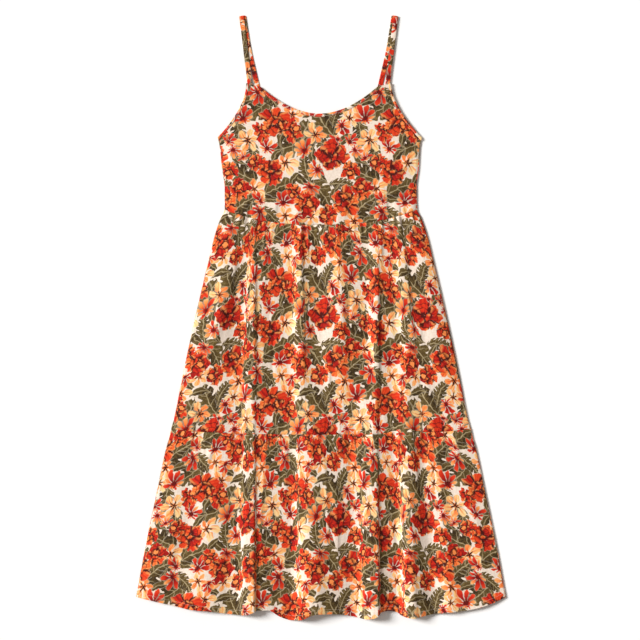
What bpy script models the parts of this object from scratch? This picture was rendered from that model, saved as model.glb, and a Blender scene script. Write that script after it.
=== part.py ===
"""A sleeveless midi dress of thin printed cloth, laid flat on its back with the straps folded double.

X runs across the dress, Y from the hem up to the straps and Z up from the surface it lies on. The back
panels lie on that surface and the front panels lie on them. The helper functions work in millimetres.
"""

from typing import NamedTuple

import bmesh
import bpy
import numpy as np

MM = 0.001

CLOTH = 1.2
GAP = 0.3
FRONT_LEVEL = 2 * CLOTH + GAP

NECK_BINDING = 6.4
ARM_BINDING = 5.0
BINDING_STANDS_UP = 0.4

WAIST_HALF = 193.0
WAIST_LOW = 185.0
WAIST_RISE = 31.0
TIER_HALF = 300.0
TIER_LOW = -234.0
TIER_RISE = 11.0
TIER_BUMP = 10.0
TIER_BUMP_X = 166.0
TIER_BUMP_REACH = 30.0
HEM_HALF = 370.0
HEM_SIDE = -559.0
BACK_HEM_DROP = 24.0

UNDERARM_X = 204.0
UNDERARM_Y = 361.0
SIDE_BINDING_END = 354.5
TOP_LEAN = -4.5
LEAN_FROM = 215.0
LEAN_TO = 467.0

BODICE_PUFF = 4.5
PUFF_FADES_FROM = 300.0
PUFF_FADES_TO = 460.0
PUFF_LEFT_AT_TOP = 0.2
WAIST_FOLDS_FADE = 60.0

GATHER_HEIGHT = 1.6
GATHER_FADE = 70.0
BACK_GATHER_HEIGHT = 0.9
BACK_GATHER_TAPER = 0.2
FRONT_WAIST_PITCH = 16.0
FRONT_TIER_PITCH = 23.0
BACK_WAIST_PITCH = 29.6
BACK_TIER_PITCH = BACK_WAIST_PITCH * TIER_HALF / WAIST_HALF
COLUMNS_PER_GATHER = 4

STRAP_WIDTH = 9.6
STRAP_FOLD_Y = 603.0
STRAP_FRONT_END = 469.5
STRAP_BACK_END = 438.4
STRAP_FOLD_STEPS = 6

PRINT_COLOUR = (0.47, 0.20, 0.11)
BACK_COLOUR = (0.42, 0.19, 0.11)
BINDING_COLOUR = (0.40, 0.12, 0.06)
CLOTH_ROUGHNESS = 0.85


class Side(NamedTuple):
    """Half the dress's width at one height."""

    y: float
    half: float


SIDES = (
    Side(-559, 370),
    Side(-461, 352),
    Side(-341, 327),
    Side(-261, 310),
    Side(-241, 304),
    Side(-223, 300),
    Side(-201, 294),
    Side(-121, 278),
    Side(-41, 261),
    Side(39, 243),
    Side(119, 224),
    Side(160, 214),
    Side(199, 201),
    Side(216, 193),
    Side(260, 192),
    Side(300, 197),
    Side(339, 200),
    Side(361, 204),
)


class UpperFold(NamedTuple):
    """A line down the upper tier: where it starts and ends, and how far it stands up."""

    waist_x: float
    tier_x: float
    waist_up: float
    middle_up: float


UPPER_FOLDS = (
    UpperFold(-193, -300, 0.0, 0.0),
    UpperFold(-178, -268, 1.8, 3.6),
    UpperFold(-166, -240, 2.8, 6.2),
    UpperFold(-156, -216, 2.2, 4.4),
    UpperFold(-146, -186, 1.2, 1.2),
    UpperFold(-143, -170, 1.2, 1.4),
    UpperFold(-138, -150, 2.6, 5.6),
    UpperFold(-133, -134, 3.5, 8.0),
    UpperFold(-127, -126, 2.4, 5.0),
    UpperFold(-110, -110, 1.6, 3.4),
    UpperFold(-86, -86, 1.0, 1.8),
    UpperFold(-66, -62, 0.8, 0.9),
    UpperFold(-60, -54, 1.4, 2.2),
    UpperFold(-50, -44, 3.0, 6.6),
    UpperFold(-40, -34, 3.5, 8.0),
    UpperFold(-34, -27, 2.4, 5.2),
    UpperFold(-16, -10, 1.0, 1.8),
    UpperFold(-6, 2, 1.2, 2.2),
    UpperFold(16, 26, 2.6, 5.6),
    UpperFold(34, 46, 3.5, 8.0),
    UpperFold(46, 58, 2.6, 6.2),
    UpperFold(66, 78, 1.6, 3.0),
    UpperFold(86, 96, 1.0, 1.2),
    UpperFold(92, 101, 1.4, 2.4),
    UpperFold(103, 109, 3.0, 7.0),
    UpperFold(111, 116, 3.5, 8.2),
    UpperFold(117, 122, 2.4, 5.0),
    UpperFold(136, 158, 1.0, 1.6),
    UpperFold(141, 168, 1.4, 2.8),
    UpperFold(149, 186, 2.8, 6.6),
    UpperFold(156, 200, 2.6, 6.2),
    UpperFold(161, 212, 1.4, 2.6),
    UpperFold(169, 232, 1.6, 3.2),
    UpperFold(180, 262, 2.0, 4.6),
    UpperFold(187, 282, 1.4, 3.0),
    UpperFold(193, 300, 0.0, 0.0),
)


class LowerFold(NamedTuple):
    """A line down the lower tier: where it starts and ends, and how far it stands up."""

    tier_x: float
    hem_x: float
    hem_y: float
    tier_up: float
    hem_up: float


LOWER_FOLDS = (
    LowerFold(-300, -370, -559, 0.0, 0.0),
    LowerFold(-266, -326, -569, 2.5, 4.5),
    LowerFold(-240, -292, -577, 1.5, 2.6),
    LowerFold(-216, -260, -584, 3.2, 6.5),
    LowerFold(-200, -238, -586, 3.6, 8.0),
    LowerFold(-186, -216, -588, 3.0, 7.0),
    LowerFold(-166, -180, -593, 1.4, 2.2),
    LowerFold(-160, -170, -594, 1.8, 3.2),
    LowerFold(-148, -152, -594, 5.0, 11.5),
    LowerFold(-135, -134, -588, 6.5, 14.0),
    LowerFold(-128, -127, -585, 4.4, 8.6),
    LowerFold(-108, -106, -585, 3.0, 6.0),
    LowerFold(-84, -82, -598, 1.8, 3.2),
    LowerFold(-62, -60, -605, 0.9, 1.2),
    LowerFold(-54, -52, -605, 1.8, 3.2),
    LowerFold(-42, -38, -603, 5.0, 11.5),
    LowerFold(-26, -20, -595, 6.5, 15.5),
    LowerFold(-14, -8, -592, 6.0, 15.0),
    LowerFold(8, 12, -592, 4.4, 10.5),
    LowerFold(34, 38, -593, 2.8, 6.2),
    LowerFold(62, 68, -598, 1.2, 1.8),
    LowerFold(70, 76, -600, 1.6, 2.8),
    LowerFold(86, 90, -602, 5.0, 10.5),
    LowerFold(102, 106, -600, 6.5, 14.5),
    LowerFold(110, 114, -596, 6.4, 14.5),
    LowerFold(117, 120, -589, 4.0, 8.5),
    LowerFold(132, 136, -586, 2.2, 4.5),
    LowerFold(146, 152, -589, 1.0, 1.4),
    LowerFold(152, 160, -595, 2.0, 4.0),
    LowerFold(164, 174, -599, 5.4, 12.5),
    LowerFold(174, 186, -600, 6.0, 14.5),
    LowerFold(182, 196, -598, 4.8, 11.0),
    LowerFold(206, 230, -592, 1.4, 2.0),
    LowerFold(214, 240, -591, 2.0, 4.0),
    LowerFold(226, 258, -589, 3.8, 7.5),
    LowerFold(244, 286, -586, 2.6, 4.6),
    LowerFold(264, 316, -580, 2.4, 4.6),
    LowerFold(282, 344, -571, 1.5, 2.6),
    LowerFold(300, 370, -559, 0.0, 0.0),
)


class TopEdge(NamedTuple):
    """The finished top of a bodice: a scoop, two short shoulder edges and two armholes."""

    neck_low: float
    neck_half: float
    neck_high: float
    arm_x: float
    arm_high: float


FRONT_TOP = TopEdge(neck_low=408, neck_half=117, neck_high=462, arm_x=145, arm_high=469)
BACK_TOP = TopEdge(neck_low=402, neck_half=109, neck_high=436, arm_x=127, arm_high=439)
NECK_ROUNDNESS = 1.9
ARM_ROUNDNESS = 1.8
NECK_STEPS = 14
ARM_STEPS = 8


class StrapPoint(NamedTuple):
    """A strap's middle at one height: its front strand and the back strand behind it."""

    y: float
    front_x: float
    back_x: float


STRAP_POINTS = (
    StrapPoint(438.4, 136.0, 117.6),
    StrapPoint(469.5, 138.3, 124.4),
    StrapPoint(539.0, 146.7, 140.1),
    StrapPoint(603.0, 154.4, 150.3),
)


def smooth_through(at, knots, values):
    """Values at the given places on a smooth curve through the knots that never overshoots them."""
    knots = np.asarray(knots, float)
    values = np.asarray(values, float)
    widths = np.diff(knots)
    slopes = np.diff(values) / widths
    before, after = slopes[:-1], slopes[1:]
    turns = before * after > 0
    safe = np.where(turns, before + after, 1.0)
    tangents = np.zeros_like(values)
    tangents[1:-1] = np.where(turns, 2 * before * after / safe, 0.0)
    tangents[0], tangents[-1] = slopes[0], slopes[-1]
    at = np.clip(at, knots[0], knots[-1])
    i = np.clip(np.searchsorted(knots, at, side="right") - 1, 0, len(widths) - 1)
    t = (at - knots[i]) / widths[i]
    start = (1 + 2 * t) * (1 - t) ** 2 * values[i] + t * (1 - t) ** 2 * widths[i] * tangents[i]
    end = t * t * (3 - 2 * t) * values[i + 1] - t * t * (1 - t) * widths[i] * tangents[i + 1]
    return start + end


def column(table, name):
    """One named column of a table."""
    return np.array([getattr(row, name) for row in table], float)


def ease(t):
    """A soft step from 0 to 1."""
    t = np.clip(t, 0, 1)
    return t * t * (3 - 2 * t)


def half_width(y):
    return smooth_through(y, column(SIDES, "y"), column(SIDES, "half"))


def waist_seam(x):
    return WAIST_LOW + WAIST_RISE * np.abs(x / WAIST_HALF) ** 2.5


def back_tier_seam(x):
    return TIER_LOW + TIER_RISE * np.abs(x / TIER_HALF) ** 3


def front_tier_seam(x):
    """The same seam, lifted where the right-hand fold stands up."""
    return back_tier_seam(x) + TIER_BUMP * np.exp(-(((x - TIER_BUMP_X) / TIER_BUMP_REACH) ** 2))


def back_hem(x):
    return HEM_SIDE - BACK_HEM_DROP * (1 - (x / HEM_HALF) ** 2)


def waist_up(x):
    return smooth_through(x, column(UPPER_FOLDS, "waist_x"), column(UPPER_FOLDS, "waist_up"))


def tier_up(x):
    return smooth_through(x, column(LOWER_FOLDS, "tier_x"), column(LOWER_FOLDS, "tier_up"))


def bodice_up(x, y):
    """How far the bodice's front stands up from flat."""
    share = np.abs(x) / half_width(y)
    puff = BODICE_PUFF * np.clip(1 - share**3, 0, 1)
    fade = ease((y - PUFF_FADES_FROM) / (PUFF_FADES_TO - PUFF_FADES_FROM))
    puff = puff * (1 - (1 - PUFF_LEFT_AT_TOP) * fade)
    near_waist = 1 - ease((y - waist_seam(x)) / WAIST_FOLDS_FADE)
    return puff + (waist_up(x) - puff) * near_waist


def gathers(x, pitch, below):
    """Uneven waves along a seam, from 0 to 1, that die out below it."""
    turns = x / pitch
    unevenness = 0.72 + 0.28 * np.sin(2.4 * np.floor(turns + 0.5))
    return unevenness * (0.5 + 0.5 * np.cos(2 * np.pi * turns)) * np.exp(-below / GATHER_FADE)


def columns_through(anchors, step):
    """Places about a step apart that hit every anchor."""
    places = [anchors[0]]
    for start, end in zip(anchors, anchors[1:]):
        count = max(1, round((end - start) / step))
        places.extend(start + (end - start) * (i + 1) / count for i in range(count))
    return np.array(places)


def leaned(points):
    """The points with the dress's top leaning a little to the left, as it lies."""
    share = np.clip((points[..., 1] - LEAN_FROM) / (LEAN_TO - LEAN_FROM), 0, 1)
    points = points.copy()
    points[..., 0] += TOP_LEAN * share
    return points


def wall(points, up):
    """The points and their copies one cloth's thickness away, square to the folds, up or down."""
    slope = np.gradient(points[..., 2], axis=1) / np.gradient(points[..., 0], axis=1)
    length = np.sqrt(1 + slope**2)
    side = 1 if up else -1
    copies = points.copy()
    copies[..., 0] -= side * CLOTH * slope / length
    copies[..., 2] += side * CLOTH / length
    return (copies, points) if up else (points, copies)


def add_body(name, outer, inner, colour):
    """One closed body between two grids of points, rows by columns."""
    rows, columns = outer.shape[:2]
    mesh = bpy.data.meshes.new(name)
    body = bmesh.new()
    layers = []
    for layer in (outer, inner):
        points = leaned(layer).reshape(-1, 3) * MM
        verts = [body.verts.new(point) for point in points]
        layers.append([verts[i * columns : (i + 1) * columns] for i in range(rows)])
    for layer in layers:
        for low, high in zip(layer, layer[1:]):
            for i in range(columns - 1):
                body.faces.new((low[i], low[i + 1], high[i + 1], high[i]))
    top, bottom = layers
    rim_of = [
        [row[0] for row in layer] + layer[-1][1:] + [row[-1] for row in layer[-2::-1]] + layer[0][-2:0:-1]
        for layer in (top, bottom)
    ]
    count = len(rim_of[0])
    for i in range(count):
        j = (i + 1) % count
        body.faces.new((rim_of[0][i], rim_of[0][j], rim_of[1][j], rim_of[1][i]))
    bmesh.ops.recalc_face_normals(body, faces=body.faces)
    body.to_mesh(mesh)
    body.free()
    mesh.materials.append(cloth_material(name, colour))
    piece = bpy.data.objects.new(name, mesh)
    bpy.context.scene.collection.objects.link(piece)
    return piece


def cloth_material(name, colour):
    material = bpy.data.materials.new(name)
    material.use_nodes = True
    shader = material.node_tree.nodes["Principled BSDF"]
    shader.inputs["Base Color"].default_value = (*colour, 1.0)
    shader.inputs["Roughness"].default_value = CLOTH_ROUGHNESS
    shader.inputs["Metallic"].default_value = 0.0
    return material


def tier_rows(start_x, end_x, start_y, end_y, shares):
    """A tier's points, seen from above: columns fan out as fast as the sides do."""
    side_y = start_y[0] + (end_y[0] - start_y[0]) * shares
    start_half, end_half = abs(start_x[0]), abs(end_x[0])
    fan = (half_width(side_y) - start_half) / (end_half - start_half)
    fan[0], fan[-1] = 0.0, 1.0
    points = np.zeros((len(shares), len(start_x), 3))
    points[..., 0] = start_x + (end_x - start_x) * fan[:, None]
    points[..., 1] = start_y + (end_y - start_y) * shares[:, None]
    return points


def upper_front_up(places, tier_x, shares):
    middle = smooth_through(places, column(UPPER_FOLDS, "waist_x"), column(UPPER_FOLDS, "middle_up"))
    first = ease(2 * shares)[:, None]
    second = ease(2 * shares - 1)[:, None]
    upper_half = waist_up(places) + (middle - waist_up(places)) * first
    return upper_half + (tier_up(tier_x) - middle) * second


def lower_front_up(places, hem_x, shares):
    hem_up = smooth_through(hem_x, column(LOWER_FOLDS, "hem_x"), column(LOWER_FOLDS, "hem_up"))
    return tier_up(places) + (hem_up - tier_up(places)) * shares[:, None]


def build_upper_front():
    shares = np.linspace(0, 1, 9) ** 1.25
    places = columns_through(column(UPPER_FOLDS, "waist_x"), FRONT_WAIST_PITCH / COLUMNS_PER_GATHER)
    tier_x = smooth_through(places, column(UPPER_FOLDS, "waist_x"), column(UPPER_FOLDS, "tier_x"))
    top, bottom = waist_seam(places) - GAP / 2, front_tier_seam(tier_x) + GAP / 2
    points = tier_rows(places, tier_x, top, bottom, shares)
    below = waist_seam(places) - points[..., 1]
    up = upper_front_up(places, tier_x, shares)
    ripple = GATHER_HEIGHT * gathers(places, FRONT_WAIST_PITCH, below)
    points[..., 2] = FRONT_LEVEL + up + ripple * np.clip(up, 0, 1)
    add_body("skirt_upper_front", *wall(points, up=False), PRINT_COLOUR)


def build_lower_front():
    shares = np.linspace(0, 1, 8) ** 1.15
    step = FRONT_TIER_PITCH / COLUMNS_PER_GATHER
    places = columns_through(column(LOWER_FOLDS, "tier_x"), step)
    hem_x = smooth_through(places, column(LOWER_FOLDS, "tier_x"), column(LOWER_FOLDS, "hem_x"))
    hem_y = smooth_through(hem_x, column(LOWER_FOLDS, "hem_x"), column(LOWER_FOLDS, "hem_y"))
    top = front_tier_seam(places) - GAP / 2
    points = tier_rows(places, hem_x, top, hem_y, shares)
    below = front_tier_seam(places) - points[..., 1]
    up = lower_front_up(places, hem_x, shares)
    ripple = GATHER_HEIGHT * gathers(places, FRONT_TIER_PITCH, below)
    points[..., 2] = FRONT_LEVEL + up + ripple * np.clip(up, 0, 1)
    add_body("skirt_lower_front", *wall(points, up=False), PRINT_COLOUR)


def back_lift(x, half, pitch, below):
    """How far the back's gathers keep it off the surface: less at the sides, where the front lies on it."""
    taper = np.clip((1 - np.abs(x) / half) / BACK_GATHER_TAPER, 0, 1)
    return BACK_GATHER_HEIGHT * taper * gathers(x, pitch, below)


def build_upper_back():
    shares = np.linspace(0, 1, 6) ** 1.5
    step = BACK_WAIST_PITCH / COLUMNS_PER_GATHER
    places = columns_through(np.array([-WAIST_HALF, 0.0, WAIST_HALF]), step)
    tier_x = places * TIER_HALF / WAIST_HALF
    top, bottom = waist_seam(places) - GAP / 2, back_tier_seam(tier_x) + GAP / 2
    points = tier_rows(places, tier_x, top, bottom, shares)
    below = waist_seam(places) - points[..., 1]
    points[..., 2] = back_lift(places, WAIST_HALF, BACK_WAIST_PITCH, below)
    add_body("skirt_upper_back", *wall(points, up=True), BACK_COLOUR)


def build_lower_back():
    shares = np.linspace(0, 1, 6) ** 1.5
    step = BACK_TIER_PITCH / COLUMNS_PER_GATHER
    places = columns_through(np.array([-TIER_HALF, 0.0, TIER_HALF]), step)
    hem_x = places * HEM_HALF / TIER_HALF
    top = back_tier_seam(places) - GAP / 2
    points = tier_rows(places, hem_x, top, back_hem(hem_x), shares)
    below = back_tier_seam(places) - points[..., 1]
    points[..., 2] = back_lift(places, TIER_HALF, BACK_TIER_PITCH, below)
    add_body("skirt_lower_back", *wall(points, up=True), BACK_COLOUR)


def neck_edge(top):
    """The finished neckline, left to right."""
    share = np.linspace(-1, 1, NECK_STEPS + 1)
    y = top.neck_low + (top.neck_high - top.neck_low) * np.abs(share) ** NECK_ROUNDNESS
    return np.stack([share * top.neck_half, y], axis=1)


def arm_edge(top):
    """The finished right armhole, from the strap down to the underarm."""
    share = np.linspace(0, 1, ARM_STEPS + 1)
    x = top.arm_x + (UNDERARM_X - top.arm_x) * share**ARM_ROUNDNESS
    y = top.arm_high - (top.arm_high - UNDERARM_Y) * share
    return np.stack([x, y], axis=1)


def moved_in(line, distance):
    """A line that runs left to right, moved down into the panel below it."""
    along = np.gradient(line, axis=0)
    along /= np.linalg.norm(along, axis=1)[:, None]
    return line + distance * np.stack([along[:, 1], -along[:, 0]], axis=1)


def shoulder_point(top, x):
    """A point on the short edge between the neckline and the armhole."""
    share = (x - top.neck_half) / (top.arm_x - top.neck_half)
    return np.array([x, top.neck_high + (top.arm_high - top.neck_high) * share])


def inner_neck(top, extra):
    """Where the neck binding meets the panel, and by how much the line is moved past that."""
    line = moved_in(neck_edge(top), NECK_BINDING + extra)
    end = shoulder_point(top, top.neck_half + NECK_BINDING + 1 + extra)
    line[-1] = end
    line[0] = end * (-1, 1)
    return line


def inner_arm(top, extra):
    """Where the right armhole's binding meets the panel, moved past that by the extra."""
    line = moved_in(arm_edge(top), ARM_BINDING + extra)
    line[0] = shoulder_point(top, top.arm_x - ARM_BINDING - extra)
    end_y = SIDE_BINDING_END - extra
    line[-1] = (half_width(end_y), end_y)
    return line


def bodice_top_line(top):
    """The panel's own top, left underarm to right underarm, inside its bindings."""
    arm = inner_arm(top, GAP / 2)
    neck = inner_neck(top, GAP / 2)
    middle = shoulder_point(top, (arm[0, 0] + neck[-1, 0]) / 2)
    left = arm[::-1] * (-1, 1)
    return np.concatenate([left, [middle * (-1, 1)], neck, [middle], arm])


def bodice_points(top, rows):
    """A bodice panel's points, seen from above, from the waist seam to its top."""
    upper = bodice_top_line(top)
    steps = np.linalg.norm(np.diff(upper, axis=0), axis=1)
    along = np.concatenate([[0], np.cumsum(steps)]) / steps.sum() * 2 - 1
    straight = upper[:, 0] / upper[-1, 0]
    low_x = WAIST_HALF * (along + straight) / 2
    lower = np.stack([low_x, waist_seam(low_x) + GAP / 2], axis=1)
    shares = np.linspace(0, 1, rows)
    points = np.zeros((rows, len(upper), 3))
    points[..., :2] = lower + (upper - lower) * shares[:, None, None]
    side = points[:, -1]
    bulge = half_width(side[:, 1]) - side[:, 0]
    bulge[0] = 0.0
    points[..., 0] += bulge[:, None] * np.sign(low_x) * np.abs(low_x / WAIST_HALF) ** 6
    return points


def build_bodice_front():
    points = bodice_points(FRONT_TOP, 9)
    points[..., 2] = FRONT_LEVEL + bodice_up(points[..., 0], points[..., 1])
    add_body("bodice_front", *wall(points, up=False), PRINT_COLOUR)


def build_bodice_back():
    add_body("bodice_back", *wall(bodice_points(BACK_TOP, 7), up=True), BACK_COLOUR)


def add_binding(name, edge, inside, front):
    """A strip along an edge: the finished edge on one side, the panel on the other."""
    strip = np.zeros((len(edge), 2, 3))
    strip[:, 0, :2] = edge
    strip[:, 1, :2] = inside
    upper, lower = strip.copy(), strip.copy()
    if front:
        up = bodice_up(strip[..., 0], strip[..., 1])
        upper[..., 2] = FRONT_LEVEL + up + BINDING_STANDS_UP
        lower[..., 2] = CLOTH + GAP + up
    else:
        upper[..., 2] = CLOTH
    add_body(name, upper, lower, BINDING_COLOUR)


def build_bindings():
    for place, top in (("front", FRONT_TOP), ("back", BACK_TOP)):
        front = place == "front"
        add_binding(f"neck_binding_{place}", neck_edge(top), inner_neck(top, -GAP / 2), front)
        edge, inside = arm_edge(top), inner_arm(top, -GAP / 2)
        for hand, mirror in (("left", -1), ("right", 1)):
            add_binding(f"armhole_binding_{place}_{hand}", edge * (mirror, 1), inside * (mirror, 1), front)


def strap_middle(y, strand):
    return smooth_through(y, column(STRAP_POINTS, "y"), column(STRAP_POINTS, strand))


def strand(ys, name, level, end_slope):
    """A strand's middles and sideways directions, its first one along the edge it is sewn to."""
    x = strap_middle(ys, name)
    slope = np.gradient(x, ys)
    middles = np.stack([x, ys, np.full_like(ys, level)], axis=1)
    sideways = np.stack([np.ones_like(ys), -slope, np.zeros_like(ys)], axis=1)
    sideways[0] = (1, end_slope, 0)
    return middles, sideways / np.linalg.norm(sideways, axis=1)[:, None]


def edge_slope(top):
    return (top.arm_high - top.neck_high) / (top.arm_x - top.neck_half)


def build_strap(name, mirror):
    """One ribbon: up the front strand, over in a tight fold, and down the back strand."""
    turn = (CLOTH + GAP) / 2
    front_ys = np.linspace(STRAP_FRONT_END, STRAP_FOLD_Y, 7)
    back_ys = np.linspace(STRAP_BACK_END, STRAP_FOLD_Y, 8)
    front, front_side = strand(front_ys, "front_x", CLOTH * 1.5 + GAP, edge_slope(FRONT_TOP))
    back, back_side = strand(back_ys, "back_x", CLOTH / 2, edge_slope(BACK_TOP))
    across = front_side[-1] + back_side[-1]
    across /= np.linalg.norm(across)
    onward = np.array([-across[1], across[0], 0.0])
    middles, sideways = list(front), list(front_side)
    outward = [np.array([0.0, 0.0, 1.0])] * len(front)
    for i in range(1, STRAP_FOLD_STEPS):
        angle = np.pi * i / STRAP_FOLD_STEPS
        share = i / STRAP_FOLD_STEPS
        flat = front[-1] + (back[-1] - front[-1]) * share
        flat[2] = CLOTH + GAP / 2 + turn * np.cos(angle)
        middles.append(flat + onward * turn * np.sin(angle))
        sideways.append(across)
        outward.append(onward * np.sin(angle) + np.array([0.0, 0.0, np.cos(angle)]))
    middles.extend(back[::-1])
    sideways.extend(back_side[::-1])
    outward.extend([np.array([0.0, 0.0, -1.0])] * len(back))
    middles, sideways, outward = (np.array(part)[:, None] for part in (middles, sideways, outward))
    offsets = np.array([-STRAP_WIDTH / 2, STRAP_WIDTH / 2])[None, :, None]
    ribbon = middles + sideways * offsets
    outer = ribbon + outward * CLOTH / 2
    inner = ribbon - outward * CLOTH / 2
    flip = np.array([mirror, 1, 1])
    add_body(name, outer * flip, inner * flip, BINDING_COLOUR)


def build_dress():
    for piece in list(bpy.data.objects):
        bpy.data.objects.remove(piece, do_unlink=True)
    build_bodice_front()
    build_bodice_back()
    build_upper_front()
    build_upper_back()
    build_lower_front()
    build_lower_back()
    build_bindings()
    build_strap("strap_left", -1)
    build_strap("strap_right", 1)


build_dress()
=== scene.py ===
"""The looks of a tiered midi dress of printed voile, laid flat on its back and seen from above.

Tables and shape functions are in millimetres, in the frame's own axes: X across the dress, Y from the
hem to the straps, Z up from the surface. Meshes are in metres.
"""

import logging
import math
from collections.abc import Callable
from dataclasses import dataclass
from enum import Enum
from functools import partial
from typing import NamedTuple

import bpy
import numpy as np
from mathutils import Matrix, Vector


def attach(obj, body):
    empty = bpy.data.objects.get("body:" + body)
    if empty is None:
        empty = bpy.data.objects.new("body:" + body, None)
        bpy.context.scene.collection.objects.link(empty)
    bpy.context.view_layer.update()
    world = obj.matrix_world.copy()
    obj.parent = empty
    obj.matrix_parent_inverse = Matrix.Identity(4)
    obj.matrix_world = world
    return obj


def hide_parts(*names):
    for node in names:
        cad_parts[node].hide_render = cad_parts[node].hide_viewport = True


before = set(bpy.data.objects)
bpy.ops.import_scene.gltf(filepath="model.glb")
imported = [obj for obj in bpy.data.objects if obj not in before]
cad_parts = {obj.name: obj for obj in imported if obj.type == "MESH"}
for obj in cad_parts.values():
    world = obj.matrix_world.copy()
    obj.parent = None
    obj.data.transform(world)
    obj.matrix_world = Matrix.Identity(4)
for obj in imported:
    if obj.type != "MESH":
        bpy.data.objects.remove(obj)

Array = np.ndarray
Line = Callable[[Array], Array]
Material = bpy.types.Material
Piece = bpy.types.Object
Socket = bpy.types.NodeSocket
Tree = bpy.types.NodeTree

LOG = logging.getLogger("dress")
MM = 0.001
FLAT_MAP = "cloth_flat"


def linear(code: str) -> tuple[float, float, float, float]:
    """The linear colour of an sRGB hex value.

    Args:
        code: six hex digits after a hash sign.

    Returns:
        Red, green, blue and an alpha of 1.
    """
    parts = [int(code[i : i + 2], 16) / 255 for i in (1, 3, 5)]
    return (*(p / 12.92 if p <= 0.04045 else ((p + 0.055) / 1.055) ** 2.4 for p in parts), 1.0)


def add_node(
    tree: Tree, kind: str, *inputs: object, out: int | str = 0, **settings: object
) -> Socket | bpy.types.Node:
    """Adds one shader node with its settings and links.

    Args:
        tree: the node tree.
        kind: the node's type, without its ShaderNode prefix.
        *inputs: a value, a hex colour, a socket to link or None for each enabled input, in order.
        out: which enabled output is wanted, by number or name.
        **settings: the node's own properties.

    Returns:
        The wanted output socket, or the node where it has none.
    """
    node = tree.nodes.new("ShaderNode" + kind)
    for name, value in settings.items():
        setattr(node, name, value)
    for socket, value in zip([s for s in node.inputs if s.enabled], inputs):
        if isinstance(value, Socket):
            tree.links.new(value, socket)
        elif value is not None:
            socket.default_value = linear(value) if isinstance(value, str) else value
    outputs = [s for s in node.outputs if s.enabled]
    if isinstance(out, str):
        return node.outputs[out]
    return outputs[out] if outputs else node


def shape_curve(socket: Socket, points: tuple[tuple[float, float], ...]) -> Socket:
    """Sets the points of the Float Curve node that a socket belongs to.

    Args:
        socket: the node's output.
        points: places from 0 to 1 and the values there.

    Returns:
        The same socket.
    """
    mapping = socket.node.mapping
    line = mapping.curves[0]
    while len(line.points) < len(points):
        line.points.new(0.5, 0.5)
    for point, (place, value) in zip(line.points, points):
        point.location = (place, value)
    mapping.update()
    return socket


def shape_ramp(socket: Socket, stops: tuple[tuple[float, str], ...]) -> Socket:
    """Sets the stops of the Color Ramp node that a socket belongs to.

    Args:
        socket: the node's output.
        stops: places from 0 to 1 and the hex colours there.

    Returns:
        The same socket.
    """
    elements = socket.node.color_ramp.elements
    while len(elements) < len(stops):
        elements.new(0.5)
    for element, (place, code) in zip(elements, stops):
        element.position = place
        element.color = linear(code)
    return socket


def empty_material(name: str) -> tuple[Material, Tree]:
    """A new material and its node tree, with nothing in it yet."""
    material = bpy.data.materials.new(name)
    material.use_nodes = True
    material.node_tree.nodes.clear()
    return material, material.node_tree


def surface(tree: Tree, colour: Socket, roughness: float, bump: Socket | None = None, **looks: float) -> None:
    """Ends a material: its shader, with constants set on the shader's own sockets, and its output.

    Args:
        tree: the node tree.
        colour: the surface's colour.
        roughness: its roughness.
        bump: its normal, where it has relief.
        **looks: other constants, by the shader's names for them with _ for each space.
    """
    shader = add_node(tree, "BsdfPrincipled", colour, 0.0, roughness, out="BSDF")
    if bump is not None:
        tree.links.new(bump, shader.node.inputs["Normal"])
    for name, value in looks.items():
        shader.node.inputs[name.replace("_", " ")].default_value = value
    add_node(tree, "OutputMaterial", shader)


def table(kind: type, *rows: tuple) -> tuple:
    """A table's rows, each as its named tuple."""
    return tuple(kind(*row) for row in rows)


class Motif(Enum):
    """The kinds of flower and leaf in the print, from the lowest layer up."""

    LOBED_LEAF = "lobed leaf"
    FERN = "fern"
    LANCE_LEAF = "lance leaf"
    LILY = "lily"
    SPIKY = "spiky flower"
    BLOSSOM = "blossom"


class Stamp(NamedTuple):
    """One motif in the repeat, in millimetres and degrees from its lower left corner."""

    x: float
    y: float
    turn: float
    size: float
    tone: float


REPEAT = (244.0, 238.0)

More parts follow.
